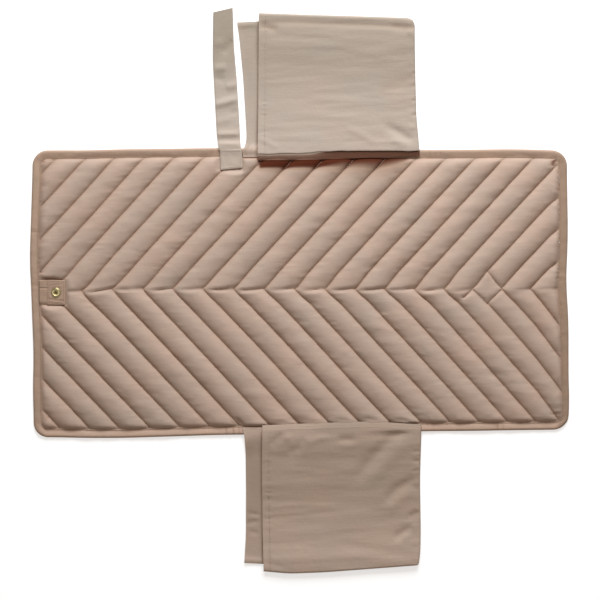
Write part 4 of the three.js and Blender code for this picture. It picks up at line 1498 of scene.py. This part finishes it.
# The corners of its sewn-down end, and of the row of stitches round that
BASE_CORNERS = np.array(((-111.5, 200.9), (-80.4, 201.2), (-79.9, 174.1), (-110.2, 170.8))) * MM
BASE_SEAM = np.array((
    (-108.9, 198.2), (-83.0, 198.4), (-82.5, 176.9), (-107.6, 173.7), (-108.9, 198.2),
)) * MM
BASE_LENGTH, BASE_WIDTH = 31 * MM, 30 * MM
STRAP_FOLDS = (
    (-113, 208, -82, 208, 0.9, 3.4), (-117, 221, -83, 222, 1.7, 4.6), (-119, 262, -86, 271, 1.7, 5.5),
    (-103, 287, -87, 291, 1.3, 5.5), (-119, 300, -104, 297, -0.7, 5), (-119, 313, -102, 315, 1.3, 5.5),
    (-108, 334, -92, 353, -0.9, 6), (-119, 346, -108, 352, 0.6, 6), (-118, 238, -96, 243, 0.6, 5),
    (-96, 250, -86, 254, -0.6, 4),
)


def strap_place(a, b):
    """A place on the strap's plan, a across it and b along it."""
    left, right = (smooth_line(edge, b, 200, 15) for edge in (STRAP_LEFT, STRAP_RIGHT))
    place = left * (1 - a)[:, None] + right * a[:, None]
    return place[:, 0], place[:, 1]


def strap_height(x, y, a, b):
    """Height of the strap's underside."""
    along = (y - 200.6 * MM) + 3 * MM * (a - 0.5) * patchy(b * 9, 0, 41)
    height = np.interp(along, STRAP_DRAPE[:, 0], STRAP_DRAPE[:, 1])
    height += 0.3 * MM * patchy(b * 14, a * 1.6, 42) * eased(b * 12) + 1.3 * folds(x, y, STRAP_FOLDS)
    return height


def strap_layer(lift, narrow, rolled):
    """The shape of one layer of the strap, a little narrower and with its edges rolled down or not."""
    def shape(a, b):
        a = narrow + (1 - 2 * narrow) * a
        x, y = strap_place(a, b)
        z = strap_height(x, y, a, b) + lift
        if rolled:
            inside = (np.minimum(a, 1 - a) - narrow) * 30 * MM
            z = z - 0.8 * MM * (1 - quarter_round(inside / (2.2 * MM)))
        return x, y, z

    return shape


def base_top(x, y):
    """Height of the strap's sewn-down end."""
    height = BASE_HIGH.z + 0.35 * MM * patchy(x / 0.007, y / 0.009, 43)
    height += 0.9 * MM * eased((y - 190 * MM) / (10 * MM)) + 0.5 * MM * eased((178 * MM - y) / (7 * MM))
    return height


def base_shape(a, b):
    """The shape of the strap's sewn-down end: four slanting sides with small round corners."""
    half_x, half_y = BASE_LENGTH / 2, BASE_WIDTH / 2
    qa, qb = rounded(a, b, half_x, half_y, 1.5 * MM)
    u, v = (qa / BASE_LENGTH + 0.5)[:, None], (qb / BASE_WIDTH + 0.5)[:, None]
    low = BASE_CORNERS[3] * (1 - u) + BASE_CORNERS[2] * u
    high = BASE_CORNERS[0] * (1 - u) + BASE_CORNERS[1] * u
    x, y = (low * (1 - v) + high * v).T
    rim = rim_drop(a, b, half_x, half_y, 1.4 * MM)
    floor = BASE_LOW.z + 0.5 * MM
    return x, y, floor + (base_top(x, y) - floor) * rim


class MakeStrap(bpy.types.Operator):
    """The strap, in two layers, with its end sewn down on the mat"""

    bl_idname = "changing_mat.strap"
    bl_label = "Strap"

    def execute(self, context):
        s = settings().strap
        cotton_cloth = finish("strap_weave")

        for name, lift, narrow, rolled, node, flat in (
            ("strap_face_cloth", 2 * s.cloth + 0.3 * MM, 0.0, True, "strap_face", FACE_FLAT),
            ("strap_lining_cloth", s.cloth + 0.05 * MM, 0.02, False, "strap_lining", LINING_FLAT),
        ):
            made = cloth(
                name, 20, 150, strap_layer(lift, narrow, rolled), flat, cotton_cloth, s.cloth,
                tones=lambda a, b, x, y, z: {"far_shade": 0.72 * eased((b - 0.3) / 0.5)},
            )
            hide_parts(node)
            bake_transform(made)

        made = cloth("strap_base_cloth", 56, 56, base_shape, BASE_FLAT, cotton_cloth, s.cloth)
        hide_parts("strap_base")
        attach(made, "mat_left")
        loop = closed_path(BASE_SEAM, 30)
        made = thread_object("strap_base_thread", [(loop, base_top)], "pocket_thread")
        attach(made, "mat_left")
        return {"FINISHED"}


# Pockets

# Each pocket in millimetres: the front panel's four edges on the plan, the outer edge of the back
# panel's strip beside the mouth, the front panel's crisp fold and height by the distance from it,
# and its soft folds, given like the tucks above. "strip_folds" are the folds of the strip.
UPPER_POCKET = {
    "name": "upper_pocket",
    "side": 1,
    "corner": 12,
    "mouth": ((-58.3, 184.7), (-57.6, 240), (-57.2, 320), (-56.6, 391.6)),
    "far": ((168.4, 191.0), (166.9, 215), (164, 245), (162.6, 300), (161.8, 350), (161.7, 384.4)),
    "hinge": ((-58.3, 184.7), (10, 185.4), (75, 187.6), (168.4, 191.0)),
    "outer": ((-56.6, 391.6), (8.4, 389.2), (89.7, 386.9), (161.7, 384.4)),
    "strip": (
        (-78.5, 189.4), (-79.6, 196), (-79, 201), (-75.5, 206), (-73.6, 213), (-74.9, 238.3), (-78.8, 302.8),
        (-84.2, 357.6), (-87.2, 378.4),
    ),
    "fold_x": (-57, -15, 1, 29, 57, 94, 120, 141, 167),
    "fold_out": (9.0, 9.4, 9.8, 10.8, 10.8, 9.9, 8.6, 7.3, 6.9),
    "levels": ((0, 8.8), (12, 8.8), (40, 7.4), (85, 5.6), (125, 6.0), (165, 7.8), (182, 7.7), (200, 6.8)),
    "folds": (
        (120, 234, 144, 221, 158, 211, -2.2, 6.5), (66, 231, 105, 211, 0.8, 5.5),
        (150, 204, 128, 214, 0.9, 6),
        (163, 300, 110, 278, -0.7, 9), (-57, 379, 160, 371.5, -1.2, 4.2),
        (-56, 374, -30, 367, -1.8, 5.5), (128, 372, 161, 368, -1.2, 5),
        (-57, 388, 160, 380, 0.5, 2.5), (-50, 352, 80, 350, 0.5, 14), (100, 330, 160, 350, 0.6, 12),
        (150, 378, 161, 352, 0.7, 5), (-45, 360, 60, 352, -0.4, 5), (20, 272, 140, 262, 0.35, 6),
        (0, 250, 110, 240, 0.3, 5), (40, 320, 130, 312, -0.35, 8), (-50, 300, 60, 306, -0.3, 7),
        (-30, 222, 60, 216, 0.4, 8), (80, 288, 158, 276, 0.35, 4), (60, 342, 150, 322, 0.3, 5),
        (158, 248, 168, 250, -0.9, 2.5), (157, 268, 166, 270, -0.8, 2.5), (157, 288, 166, 291, -0.7, 2.5),
        (158, 306, 165, 308, -0.7, 2.5), (-56, 215, -30, 203, 0.6, 4),
    ),
    "strip_folds": (
        (-76.5, 190, -75.5, 203, -1.7, 1.3), (-72.5, 189, -71.0, 207, -1.9, 1.5),
        (-67.5, 189, -67, 204, -1.3, 1.6), (-62.5, 189, -62.5, 205, -1.5, 1.5),
        (-59.5, 188, -59.5, 200, -1.3, 1.4),
    ),
}
LOWER_POCKET = {
    "name": "lower_pocket",
    "side": -1,
    "corner": 4,
    "mouth": ((-51.7, -185.5), (-52.3, -250), (-51.5, -320), (-50.0, -390.6)),
    "far": ((170.8, -184.5), (170.5, -205), (169.0, -263), (170, -330), (169.6, -362), (167.2, -382.0)),
    "hinge": ((-51.7, -185.5), (-2.8, -183.5), (81.3, -180.4), (113.6, -180.8), (170.8, -184.5)),
    "outer": ((-50.0, -390.6), (-14.2, -393.8), (34.6, -392.0), (109.4, -386.4), (167.2, -382.0)),
    "strip": (
        (-79.5, -188.6), (-77.0, -200), (-75.2, -225), (-74.6, -280), (-74.8, -340), (-76.6, -372),
        (-77.0, -379),
    ),
    "fold_x": (-52, -10, 30, 80, 120, 171),
    "fold_out": (8.0, 7.0, 8.0, 8.0, 7.0, 8.0),
    "levels": ((0, 8.8), (14, 8.6), (45, 7.0), (90, 5.7), (140, 6.3), (175, 7.9), (188, 7.8), (205, 5.8)),
    "folds": (
        (150, -190, 128, -204, 104, -230, 78, -262, -2.3, 9), (150, -212, 122, -238, 96, -268, 0.9, 9),
        (162, -260, 138, -274, 120, -292, -1.9, 7), (164, -275, 138, -292, 124, -308, 0.8, 7),
        (168, -307, 152, -314, -1.2, 4.5), (160, -329, 146, -335, 132, -346, -1.5, 6),
        (166, -322, 144, -346, 0.7, 5), (118, -302, 118, -326, -0.7, 16),
        (-40, -214, -30, -203, -21, -194, -1.3, 6), (-26, -197, -12, -206, 0.9, 6),
        (-16, -226, -2, -218, 10, -206, -1.6, 7), (-2, -216, 18, -206, 42, -198, 1.3, 7),
        (14, -203, 44, -195, -0.8, 5), (54, -205, 78, -206, -1.4, 6), (56, -214, 80, -214, 0.6, 6),
        (-44, -228, 0, -236, -0.7, 8), (0, -226, 60, -220, 0.7, 8), (86, -187, 160, -192, 1.1, 4),
        (98, -200, 136, -198, 161, -192, -1.0, 5.2), (-46, -374, 120, -366, 0.8, 8),
        (60, -352, 160, -370, -0.6, 7),
        (-40, -262, 60, -266, 0.3, 6), (-46, -300, 40, -296, 0.25, 6), (-30, -330, 80, -336, 0.3, 8),
        (20, -282, 100, -276, -0.3, 7), (158, -222, 169, -222, -0.7, 2.4),
        (159, -236, 169, -235, -0.8, 2.4), (158, -250, 168, -248, -0.7, 2.4),
        (-50, -378, -20, -384, -0.6, 4),
    ),
    "strip_folds": (
        (-72, -309, -56, -311, -1.0, 3), (-73, -323, -58, -321, -1.1, 3), (-70, -335, -58, -338, -0.8, 3),
    ),
}
# Two places by each pocket's hinge: x, distances from the mat's middle line, and height
POCKET_BEND = (0.045, (0.1865, 0.2), 0.008)


def along_table(table, share):
    """A smooth line through a pocket's table of points, at shares of its length."""
    return smooth_line(np.asarray(table, float) * MM, share, 240, 20)


def across_edges(a, b, start, end, low, high):
    """A place between four edges: start and end run along b, low and high along a."""
    p = along_table(start, b) * (1 - a)[:, None] + along_table(end, b) * a[:, None]
    p += along_table(low, a) * (1 - b)[:, None] + along_table(high, a) * b[:, None]
    corners = [np.asarray(edge[i], float) * MM for edge in (low, high) for i in (0, -1)]
    p -= np.outer((1 - a) * (1 - b), corners[0]) + np.outer(a * (1 - b), corners[1])
    p -= np.outer((1 - a) * b, corners[2]) + np.outer(a * b, corners[3])
    return p[:, 0], p[:, 1]


def round_corner(a, b, long, wide, radius):
    """Rounds the corner of a grid's square where both shares are 1."""
    over_a = np.clip((a - 1) * wide / radius + 1, 0, 1)
    over_b = np.clip((b - 1) * long / radius + 1, 0, 1)
    ra = over_a * np.sqrt(1 - over_b * over_b / 2)
    rb = over_b * np.sqrt(1 - over_a * over_a / 2)
    a = np.where(over_a > 0, 1 + (ra - 1) * radius / wide, a)
    b = np.where(over_b > 0, 1 + (rb - 1) * radius / long, b)
    return a, b


def pocket_roof(pocket, x, y, beyond):
    """Height of the front panel, beyond being the distance out from its crisp fold."""
    side = pocket["side"]
    levels = np.array(pocket["levels"]) * MM
    height = smooth_table(levels, beyond)
    free = eased(beyond / (7 * MM))
    height += folds(x, y, pocket["folds"]) * free
    height += 0.4 * MM * patchy(x / 0.07, y / 0.021, 51 + side)
    height += 0.2 * MM * patchy(x / 0.035, y / 0.0075, 53 + side)
    height += 0.13 * MM * patchy(x / 0.05 + y / 0.02, y / 0.0052 - x / 0.05, 54 + side)
    return height


def smooth_table(table, at):
    """Interpolates a table without corners."""
    steps = (-6 * MM, -3 * MM, 0, 3 * MM, 6 * MM)
    return sum(np.interp(at + step, table[:, 0], table[:, 1]) for step in steps) / len(steps)


# The front panel's start, from the hinge to its fold: shares of the distance where it rolls over
# softly and where it is creased, how far the crease laps over, and its heights on either side
SOFT_SHARE = np.array((0.0, 0.15, 0.3, 0.45, 0.58, 0.7, 0.8, 0.88, 0.94, 1.0))
CREASED_SHARE = np.array((0.0, 0.35, 0.75, 1.0, 1.0, 1.0, 1.0, 1.0, 1.0, 1.0))
CREASE_LAP = np.array((0.0, 0.0, 0.0, 1.6, 2.2, 1.8, 0.7, 0.0, 0.5, 3.0)) * MM
FOLD_HEIGHT = {
    1: np.array((5.9, 6.3, 6.7, 7.0, 7.2, 7.4, 7.6, 7.9, 8.5, 8.8)) * MM,
    -1: np.array((7.7, 7.9, 8.1, 8.3, 8.4, 8.5, 8.6, 8.7, 8.8, 8.8)) * MM,
}
# The share of the front panel's rows that lie in that start, the share up to its turned-down sides,
# and how deep the panel is
FOLD_PART = 0.16
TURN_DOWN = 0.955
PANEL_DEPTH = 0.2


def pocket_front_shape(pocket):
    """The shape of a front panel, from its hinge over its crisp fold to the outer edge."""
    p = settings().pocket
    side = pocket["side"]
    turn, deep = TURN_DOWN, PANEL_DEPTH

    def shape(a, b):
        # The last columns and rows carry the turned-down sides
        side_turn = np.clip((a - turn) / (1 - turn), 0, 1)
        end_turn = np.clip((b - turn) / (1 - turn), 0, 1)
        turned_a = 0.986 + 0.014 * np.sin(side_turn * math.pi / 2)
        flat_a = np.where(a < turn, a / turn * 0.986, turned_a)
        along_x = pocket["mouth"][0][0] + flat_a * (pocket["far"][0][0] - pocket["mouth"][0][0])
        # From the hinge to the fold
        fold_out = np.interp(along_x, pocket["fold_x"], pocket["fold_out"]) * MM
        fold_out = fold_out + 0.7 * MM * patchy(along_x / 14, 0, 71 + side)
        steps = np.arange(len(SOFT_SHARE))
        step = np.clip(b / FOLD_PART, 0, 1) * steps[-1]
        over = eased((along_x - 14) / 46) if side > 0 else np.zeros_like(along_x)
        share = np.interp(step, steps, SOFT_SHARE) * (1 - over)
        share = share + np.interp(step, steps, CREASED_SHARE) * over
        fold_y = share * fold_out + np.interp(step, steps, CREASE_LAP) * over
        start = (fold_out + CREASE_LAP[-1] * over) / deep
        rest = np.clip((b - FOLD_PART) / (turn - FOLD_PART), 0, 1)
        flat_b = np.where(b < FOLD_PART, fold_y / deep, start + (0.985 - start) * rest)
        flat_b = np.where(b > turn, 0.985 + 0.015 * np.sin(end_turn * math.pi / 2), flat_b)
        beyond = flat_b * deep - fold_out
        flat_a, flat_b = round_corner(flat_a, flat_b, 0.2, 0.22, pocket["corner"] * MM)
        x, y = across_edges(
            flat_a, flat_b, pocket["mouth"], pocket["far"], pocket["hinge"], pocket["outer"]
        )
        # The loose panel: lower at the mouth, its hem sewn and gathered, and tucked at the far edge
        roof = pocket_roof(pocket, x, y, beyond)
        mouth = np.abs(x - along_table(pocket["mouth"], flat_b)[:, 0])
        roof = roof - 0.9 * MM * bell(mouth, 0.016) * eased(beyond / 0.03)
        roof = roof - 0.12 * MM * bell(mouth - p.hem, 1.2 * MM)
        gather = patchy(y / (3.3 * MM), 0, 55 + side) * bell(mouth - 9 * MM, 4.5 * MM)
        often = 0.55 + 0.45 * patchy(y / 0.05, 4, 59 + side)
        roof = roof + (0.62 if side > 0 else 0.42) * MM * gather * often * eased(beyond / 0.02)
        far_edge = np.abs(x - along_table(pocket["far"], flat_b)[:, 0])
        tuck = patchy(y / (7 * MM), 3, 57 + side) * bell(far_edge - 7 * MM, 6 * MM)
        roof = roof + 0.45 * MM * tuck * eased(beyond / 0.02)
        # On the quilt, up to the fold
        lift = 0.8 * MM + 0.4 * MM * eased(fold_y / (2.5 * MM)) if side > 0 else 0.7 * MM
        on_quilt = laid_top(x, y) + lift
        under = np.maximum(np.interp(step, steps, FOLD_HEIGHT[side]), on_quilt)
        merge = eased((b - FOLD_PART * 0.8) / (FOLD_PART * 0.5))
        roof = under * (1 - merge) + roof * merge
        # Down to the back panel at the sides
        down = 1 - np.minimum(np.cos(side_turn * math.pi / 2), np.cos(end_turn * math.pi / 2))
        bottom = pocket_back_height(y, side) + p.cloth * 2
        return x, y, roof * (1 - down) + np.minimum(bottom, roof) * down

    return shape


def pocket_back_height(y, side):
    """Upper side of the back panel: flat on the floor, and up over the binding."""
    p = settings().pocket
    reach = (11 if side > 0 else 34) * MM
    return p.cloth + 3.3 * MM * (1 - eased((side * y - 198 * MM) / reach))


def pocket_back_shape(pocket):
    """The shape of a back panel: a strip of it shows beside the mouth, and the rest is covered."""
    p = settings().pocket
    side = pocket["side"]
    strip = pocket["strip"]
    far = [(x - 2.2, y) for x, y in pocket["far"]]
    end = (far[-1][0], far[-1][1] - side * 2.5)
    far[-1] = end
    hinge = (strip[0], (0, strip[0][1]), far[0])
    outer = (strip[-1], (strip[-1][0] + 40, strip[-1][1] + side * 2), end)

    def shape(a, b):
        x, y = across_edges(a, b, strip, far, hinge, outer)
        z = pocket_back_height(y, side)
        edge = np.abs(x - along_table(strip, b)[:, 0])
        shown = eased((0.045 - edge) / 0.02)
        z = z + shown * (0.5 * MM + 0.45 * MM * patchy(x / 0.012, y / 0.03, 61 + side)) * eased(b * 9)
        z = z + 0.7 * MM * bell(edge, 3.2 * MM) * eased(b * 9)
        if side > 0:
            lumps = 1.9 * MM + 0.5 * MM * patchy(x / (3.5 * MM), y / 0.012, 63)
            z = z + shown * bell(y - 199 * MM, 7 * MM) * lumps
            z = z + folds(x, y, pocket["strip_folds"])
        else:
            z = z + (0.6 * MM + folds(x, y, pocket["strip_folds"])) * shown
            z = z + 1.3 * MM * (1 - eased((-186 * MM - y) / (26 * MM))) * shown
        z = z + 1.2 * MM * bell((1 - b) * 0.19 - 4 * MM, 4 * MM) * shown
        return x, y, np.maximum(z, p.cloth * 1.1)

    return shape


def pocket_tones(pocket, part):
    """Where the cloth lies in its own shade: under the crisp fold, in folds and beside the mouth."""
    side = pocket["side"]
    deep_folds = [line for line in pocket["folds"] if line[4] < -0.6]

    def tones(a, b, x, y, z):
        shade = np.zeros_like(a)
        if part == "front":
            if side > 0:
                right = eased((x - 0.01) / 0.045)
                inner = 1 - b / (FOLD_PART * 0.66)
                shade = 0.81 + 0.115 * right + (0.12 - 0.1 * right) * inner
                shade = shade * eased((FOLD_PART * 0.66 - b) / (FOLD_PART * 0.16))
            most = 0.7 if side > 0 else 0.3
            shade = np.maximum(shade, np.clip(-folds(x, y, deep_folds) / (2.2 * MM), 0, 1) * most)
        else:
            mouth = along_table(pocket["mouth"], np.clip((side * y - 0.185) / 0.206, 0, 1))[:, 0]
            shade = 0.85 * bell(x - mouth, 1.9 * MM) * (side * y > 0.196)
            if side > 0:
                gathered = np.clip(-folds(x, y, pocket["strip_folds"]) / (1.6 * MM), 0, 1)
                shade = np.maximum(shade, gathered * 0.6)
                # Painted shadow along the strip's lower edge, where it lies on the quilt
                shade = np.maximum(shade, 0.9 * eased((190.5 * MM - y) / (2.5 * MM)))
        out = np.clip((side * y - 0.2) / 0.19, 0, 1)
        if side > 0:
            far = (0.25 + 0.35 * eased((out - 0.25) / 0.45)) * eased(out / 0.25)
        else:
            far = 0.57 - 0.57 * eased((out - 0.35) / 0.6)
            near_mat = 1 - eased((-0.19 - y) / 0.03)
            if part == "back":
                far = far + (0.14 - 0.75 * near_mat)
            else:
                far = far - (0.36 - 0.26 * eased(x / 0.05)) * near_mat
        return {"seam_depth": shade, "far_shade": far}

    return tones


def pocket_surface(pocket):
    """Height of the front panel at places near the mouth's hem, read from its finished cloth."""
    cloth_object = bpy.data.objects[pocket["name"] + "_front_cloth"]
    places = get_places(cloth_object.data)

    def height(x, y):
        found = np.zeros_like(x)
        for i, (px, py) in enumerate(zip(x, y)):
            near = (np.abs(places[:, 0] - px) < 2.2 * MM) & (np.abs(places[:, 1] - py) < 2.2 * MM)
            found[i] = places[near, 2].max() if near.any() else 5 * MM
        return found

    return height


class MakePockets(bpy.types.Operator):
    """Both pockets: a back panel on the floor and a loose front panel over it"""

    bl_idname = "changing_mat.pockets"
    bl_label = "Pockets"

    def execute(self, context):
        p = settings().pocket
        for pocket in (UPPER_POCKET, LOWER_POCKET):
            name, side = pocket["name"], pocket["side"]
            cotton_cloth = finish(name + "_weave")
            bend_x, reaches, bend_z = POCKET_BEND
            start, end = ((bend_x, side * reach, bend_z) for reach in reaches)
            for part, shape, columns, rows, flat in (
                ("front", pocket_front_shape(pocket), 160, 168, POCKET_FRONT_FLAT),
                ("back", pocket_back_shape(pocket), 90, 90, POCKET_BACK_FLAT),
            ):
                made = cloth(
                    f"{name}_{part}_cloth", columns, rows, shape, flat, cotton_cloth, p.cloth,
                    tones=pocket_tones(pocket, part), flip=side < 0,
                )
                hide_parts(f"{name}_{part}")
                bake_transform(made)
                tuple(start)
                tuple(end)
            path = along_table(pocket["mouth"], np.linspace(0.04, 0.985, 160)) + (p.hem, 0)
            made = thread_object(f"{name}_thread", [(path, pocket_surface(pocket))], "pocket_thread")
            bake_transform(made)
            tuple(start)
            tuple(end)
        return {"FINISHED"}


# Stage: the floor's half size and depth, the window's place, size and colour, the camera's place
# over the mat, and the width that its picture takes in there
FLOOR_HALF, FLOOR_Z = 6, -0.2 * MM
WINDOW_PLACE, WINDOW_SIZE = (0.13, 1.5, 0.95), (1.3, 0.9)
WINDOW_COLOUR = (0.96, 1.0, 1.04)
CAMERA_PLACE, PICTURE_WIDTH = (0.0009, -0.0105), 0.8412
LENS, SENSOR = 100, 36


class MakeStage(bpy.types.Operator):
    """Pale floor, soft window light and a camera straight above"""

    bl_idname = "changing_mat.stage"
    bl_label = "Stage"

    def execute(self, context):
        s = settings().studio
        scene = context.scene
        scene.view_settings.view_transform = "Standard"

        bm = bmesh.new()
        bmesh.ops.create_grid(bm, x_segments=1, y_segments=1, size=FLOOR_HALF)
        bmesh.ops.translate(bm, verts=bm.verts, vec=(0, 0, FLOOR_Z))
        mesh = mesh_of(bm, "floor")
        w = Wiring(bpy.data.materials.new("floor_paper"))
        place = w.add("ShaderNodeTexCoord").outputs["Object"]
        grain = w.noise(place, 90.0, 4.0)
        tone = w.mix(grain, (s.floor,) * 3 + (1,), (s.floor * 0.99,) * 3 + (1,))
        w.links.new(tone, w.shader.inputs["Base Color"])
        w.shader.inputs["Roughness"].default_value = 1.0
        w.shader.inputs["Specular IOR Level"].default_value = 0.0
        path = w.add("ShaderNodeLightPath")
        seen = w.math("MAXIMUM", path.outputs["Is Camera Ray"], path.outputs["Is Glossy Ray"])
        seen = w.math("MAXIMUM", seen, path.outputs["Is Transmission Ray"])
        far = w.add("ShaderNodeVectorMath", {0: place}, operation="LENGTH").outputs["Value"]
        lift = w.math("MULTIPLY", seen, w.ranged(far, 0.7, 1.6, s.lift, 1))
        glow = w.add("ShaderNodeEmission", {"Strength": lift})
        both = w.add("ShaderNodeAddShader", {0: w.shader.outputs[0], 1: glow.outputs[0]})
        w.links.new(both.outputs[0], w.nodes["Material Output"].inputs["Surface"])
        mesh_object("floor", mesh, w.owner)

        scene.world = bpy.data.worlds.new("room")
        w = Wiring(scene.world)
        path = w.add("ShaderNodeLightPath")
        seen = w.math("MAXIMUM", path.outputs["Is Camera Ray"], path.outputs["Is Glossy Ray"])
        background = w.nodes["Background"]
        w.links.new(w.ranged(seen, 0, 1, s.fill, 1), background.inputs["Strength"])
        w.links.new(w.mix(seen, (*s.fill_tint, 1), (1, 1, 1, 1)), background.inputs["Color"])

        lamp = bpy.data.lights.new("window", "AREA")
        lamp.shape = "RECTANGLE"
        lamp.size, lamp.size_y = WINDOW_SIZE
        lamp.energy = s.key
        lamp.color = WINDOW_COLOUR
        made = bpy.data.objects.new("window", lamp)
        scene.collection.objects.link(made)
        made.location = WINDOW_PLACE
        made.rotation_mode = "QUATERNION"
        made.rotation_quaternion = (-Vector(made.location)).to_track_quat("-Z", "Y")

        camera = bpy.data.cameras.new("camera")
        camera.lens, camera.sensor_width = LENS, SENSOR
        camera.clip_start, camera.clip_end = 0.05, 50
        holder = bpy.data.objects.new("camera", camera)
        scene.collection.objects.link(holder)
        holder.location = (*CAMERA_PLACE, PICTURE_WIDTH * LENS / SENSOR)
        scene.camera = holder
        return {"FINISHED"}


OPERATORS = (
    MakeQuiltTop,
    MakeBackCover,
    MakeWadding,
    MakeBinding,
    MakeQuiltingThread,
    MakeSnapPatch,
    MakeSnaps,
    MakeStrap,
    MakePockets,
    MakeStage,
)


class MatPanel(bpy.types.Panel):
    """Lists the pieces and their sizes"""

    bl_idname = "VIEW3D_PT_changing_mat"
    bl_label = "Changing mat"
    bl_space_type = "VIEW_3D"
    bl_region_type = "UI"
    bl_category = "Changing mat"

    def draw(self, context):
        layout = self.layout
        for operator in OPERATORS:
            layout.operator(operator.bl_idname)
        mat = context.scene.changing_mat
        for group in (mat.quilt, mat.binding, mat.thread, mat.pocket, mat.strap, mat.colours, mat.studio):
            box = layout.box()
            for name in group.__annotations__:
                box.prop(group, name)


GROUPS = (
    QuiltSizes, BindingSizes, ThreadSizes, PocketSizes, StrapSizes, Colours, StudioSizes, MatSettings,
)


def register():
    """Makes the settings, the operators and the panel known to Blender."""
    for made in (*GROUPS, *OPERATORS, MatPanel):
        bpy.utils.register_class(made)
    bpy.types.Scene.changing_mat = PointerProperty(type=MatSettings)


def unregister():
    """Takes all of that out again."""
    del bpy.types.Scene.changing_mat
    for made in reversed((*GROUPS, *OPERATORS, MatPanel)):
        bpy.utils.unregister_class(made)


def write_sizes():
    """Brings the scene up to date."""
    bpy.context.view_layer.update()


def main():
    """Builds every piece and the stage."""
    register()
    for operator in OPERATORS:
        group, name = operator.bl_idname.split(".")
        getattr(getattr(bpy.ops, group), name)()
    write_sizes()


if __name__ == "__main__":
    main()
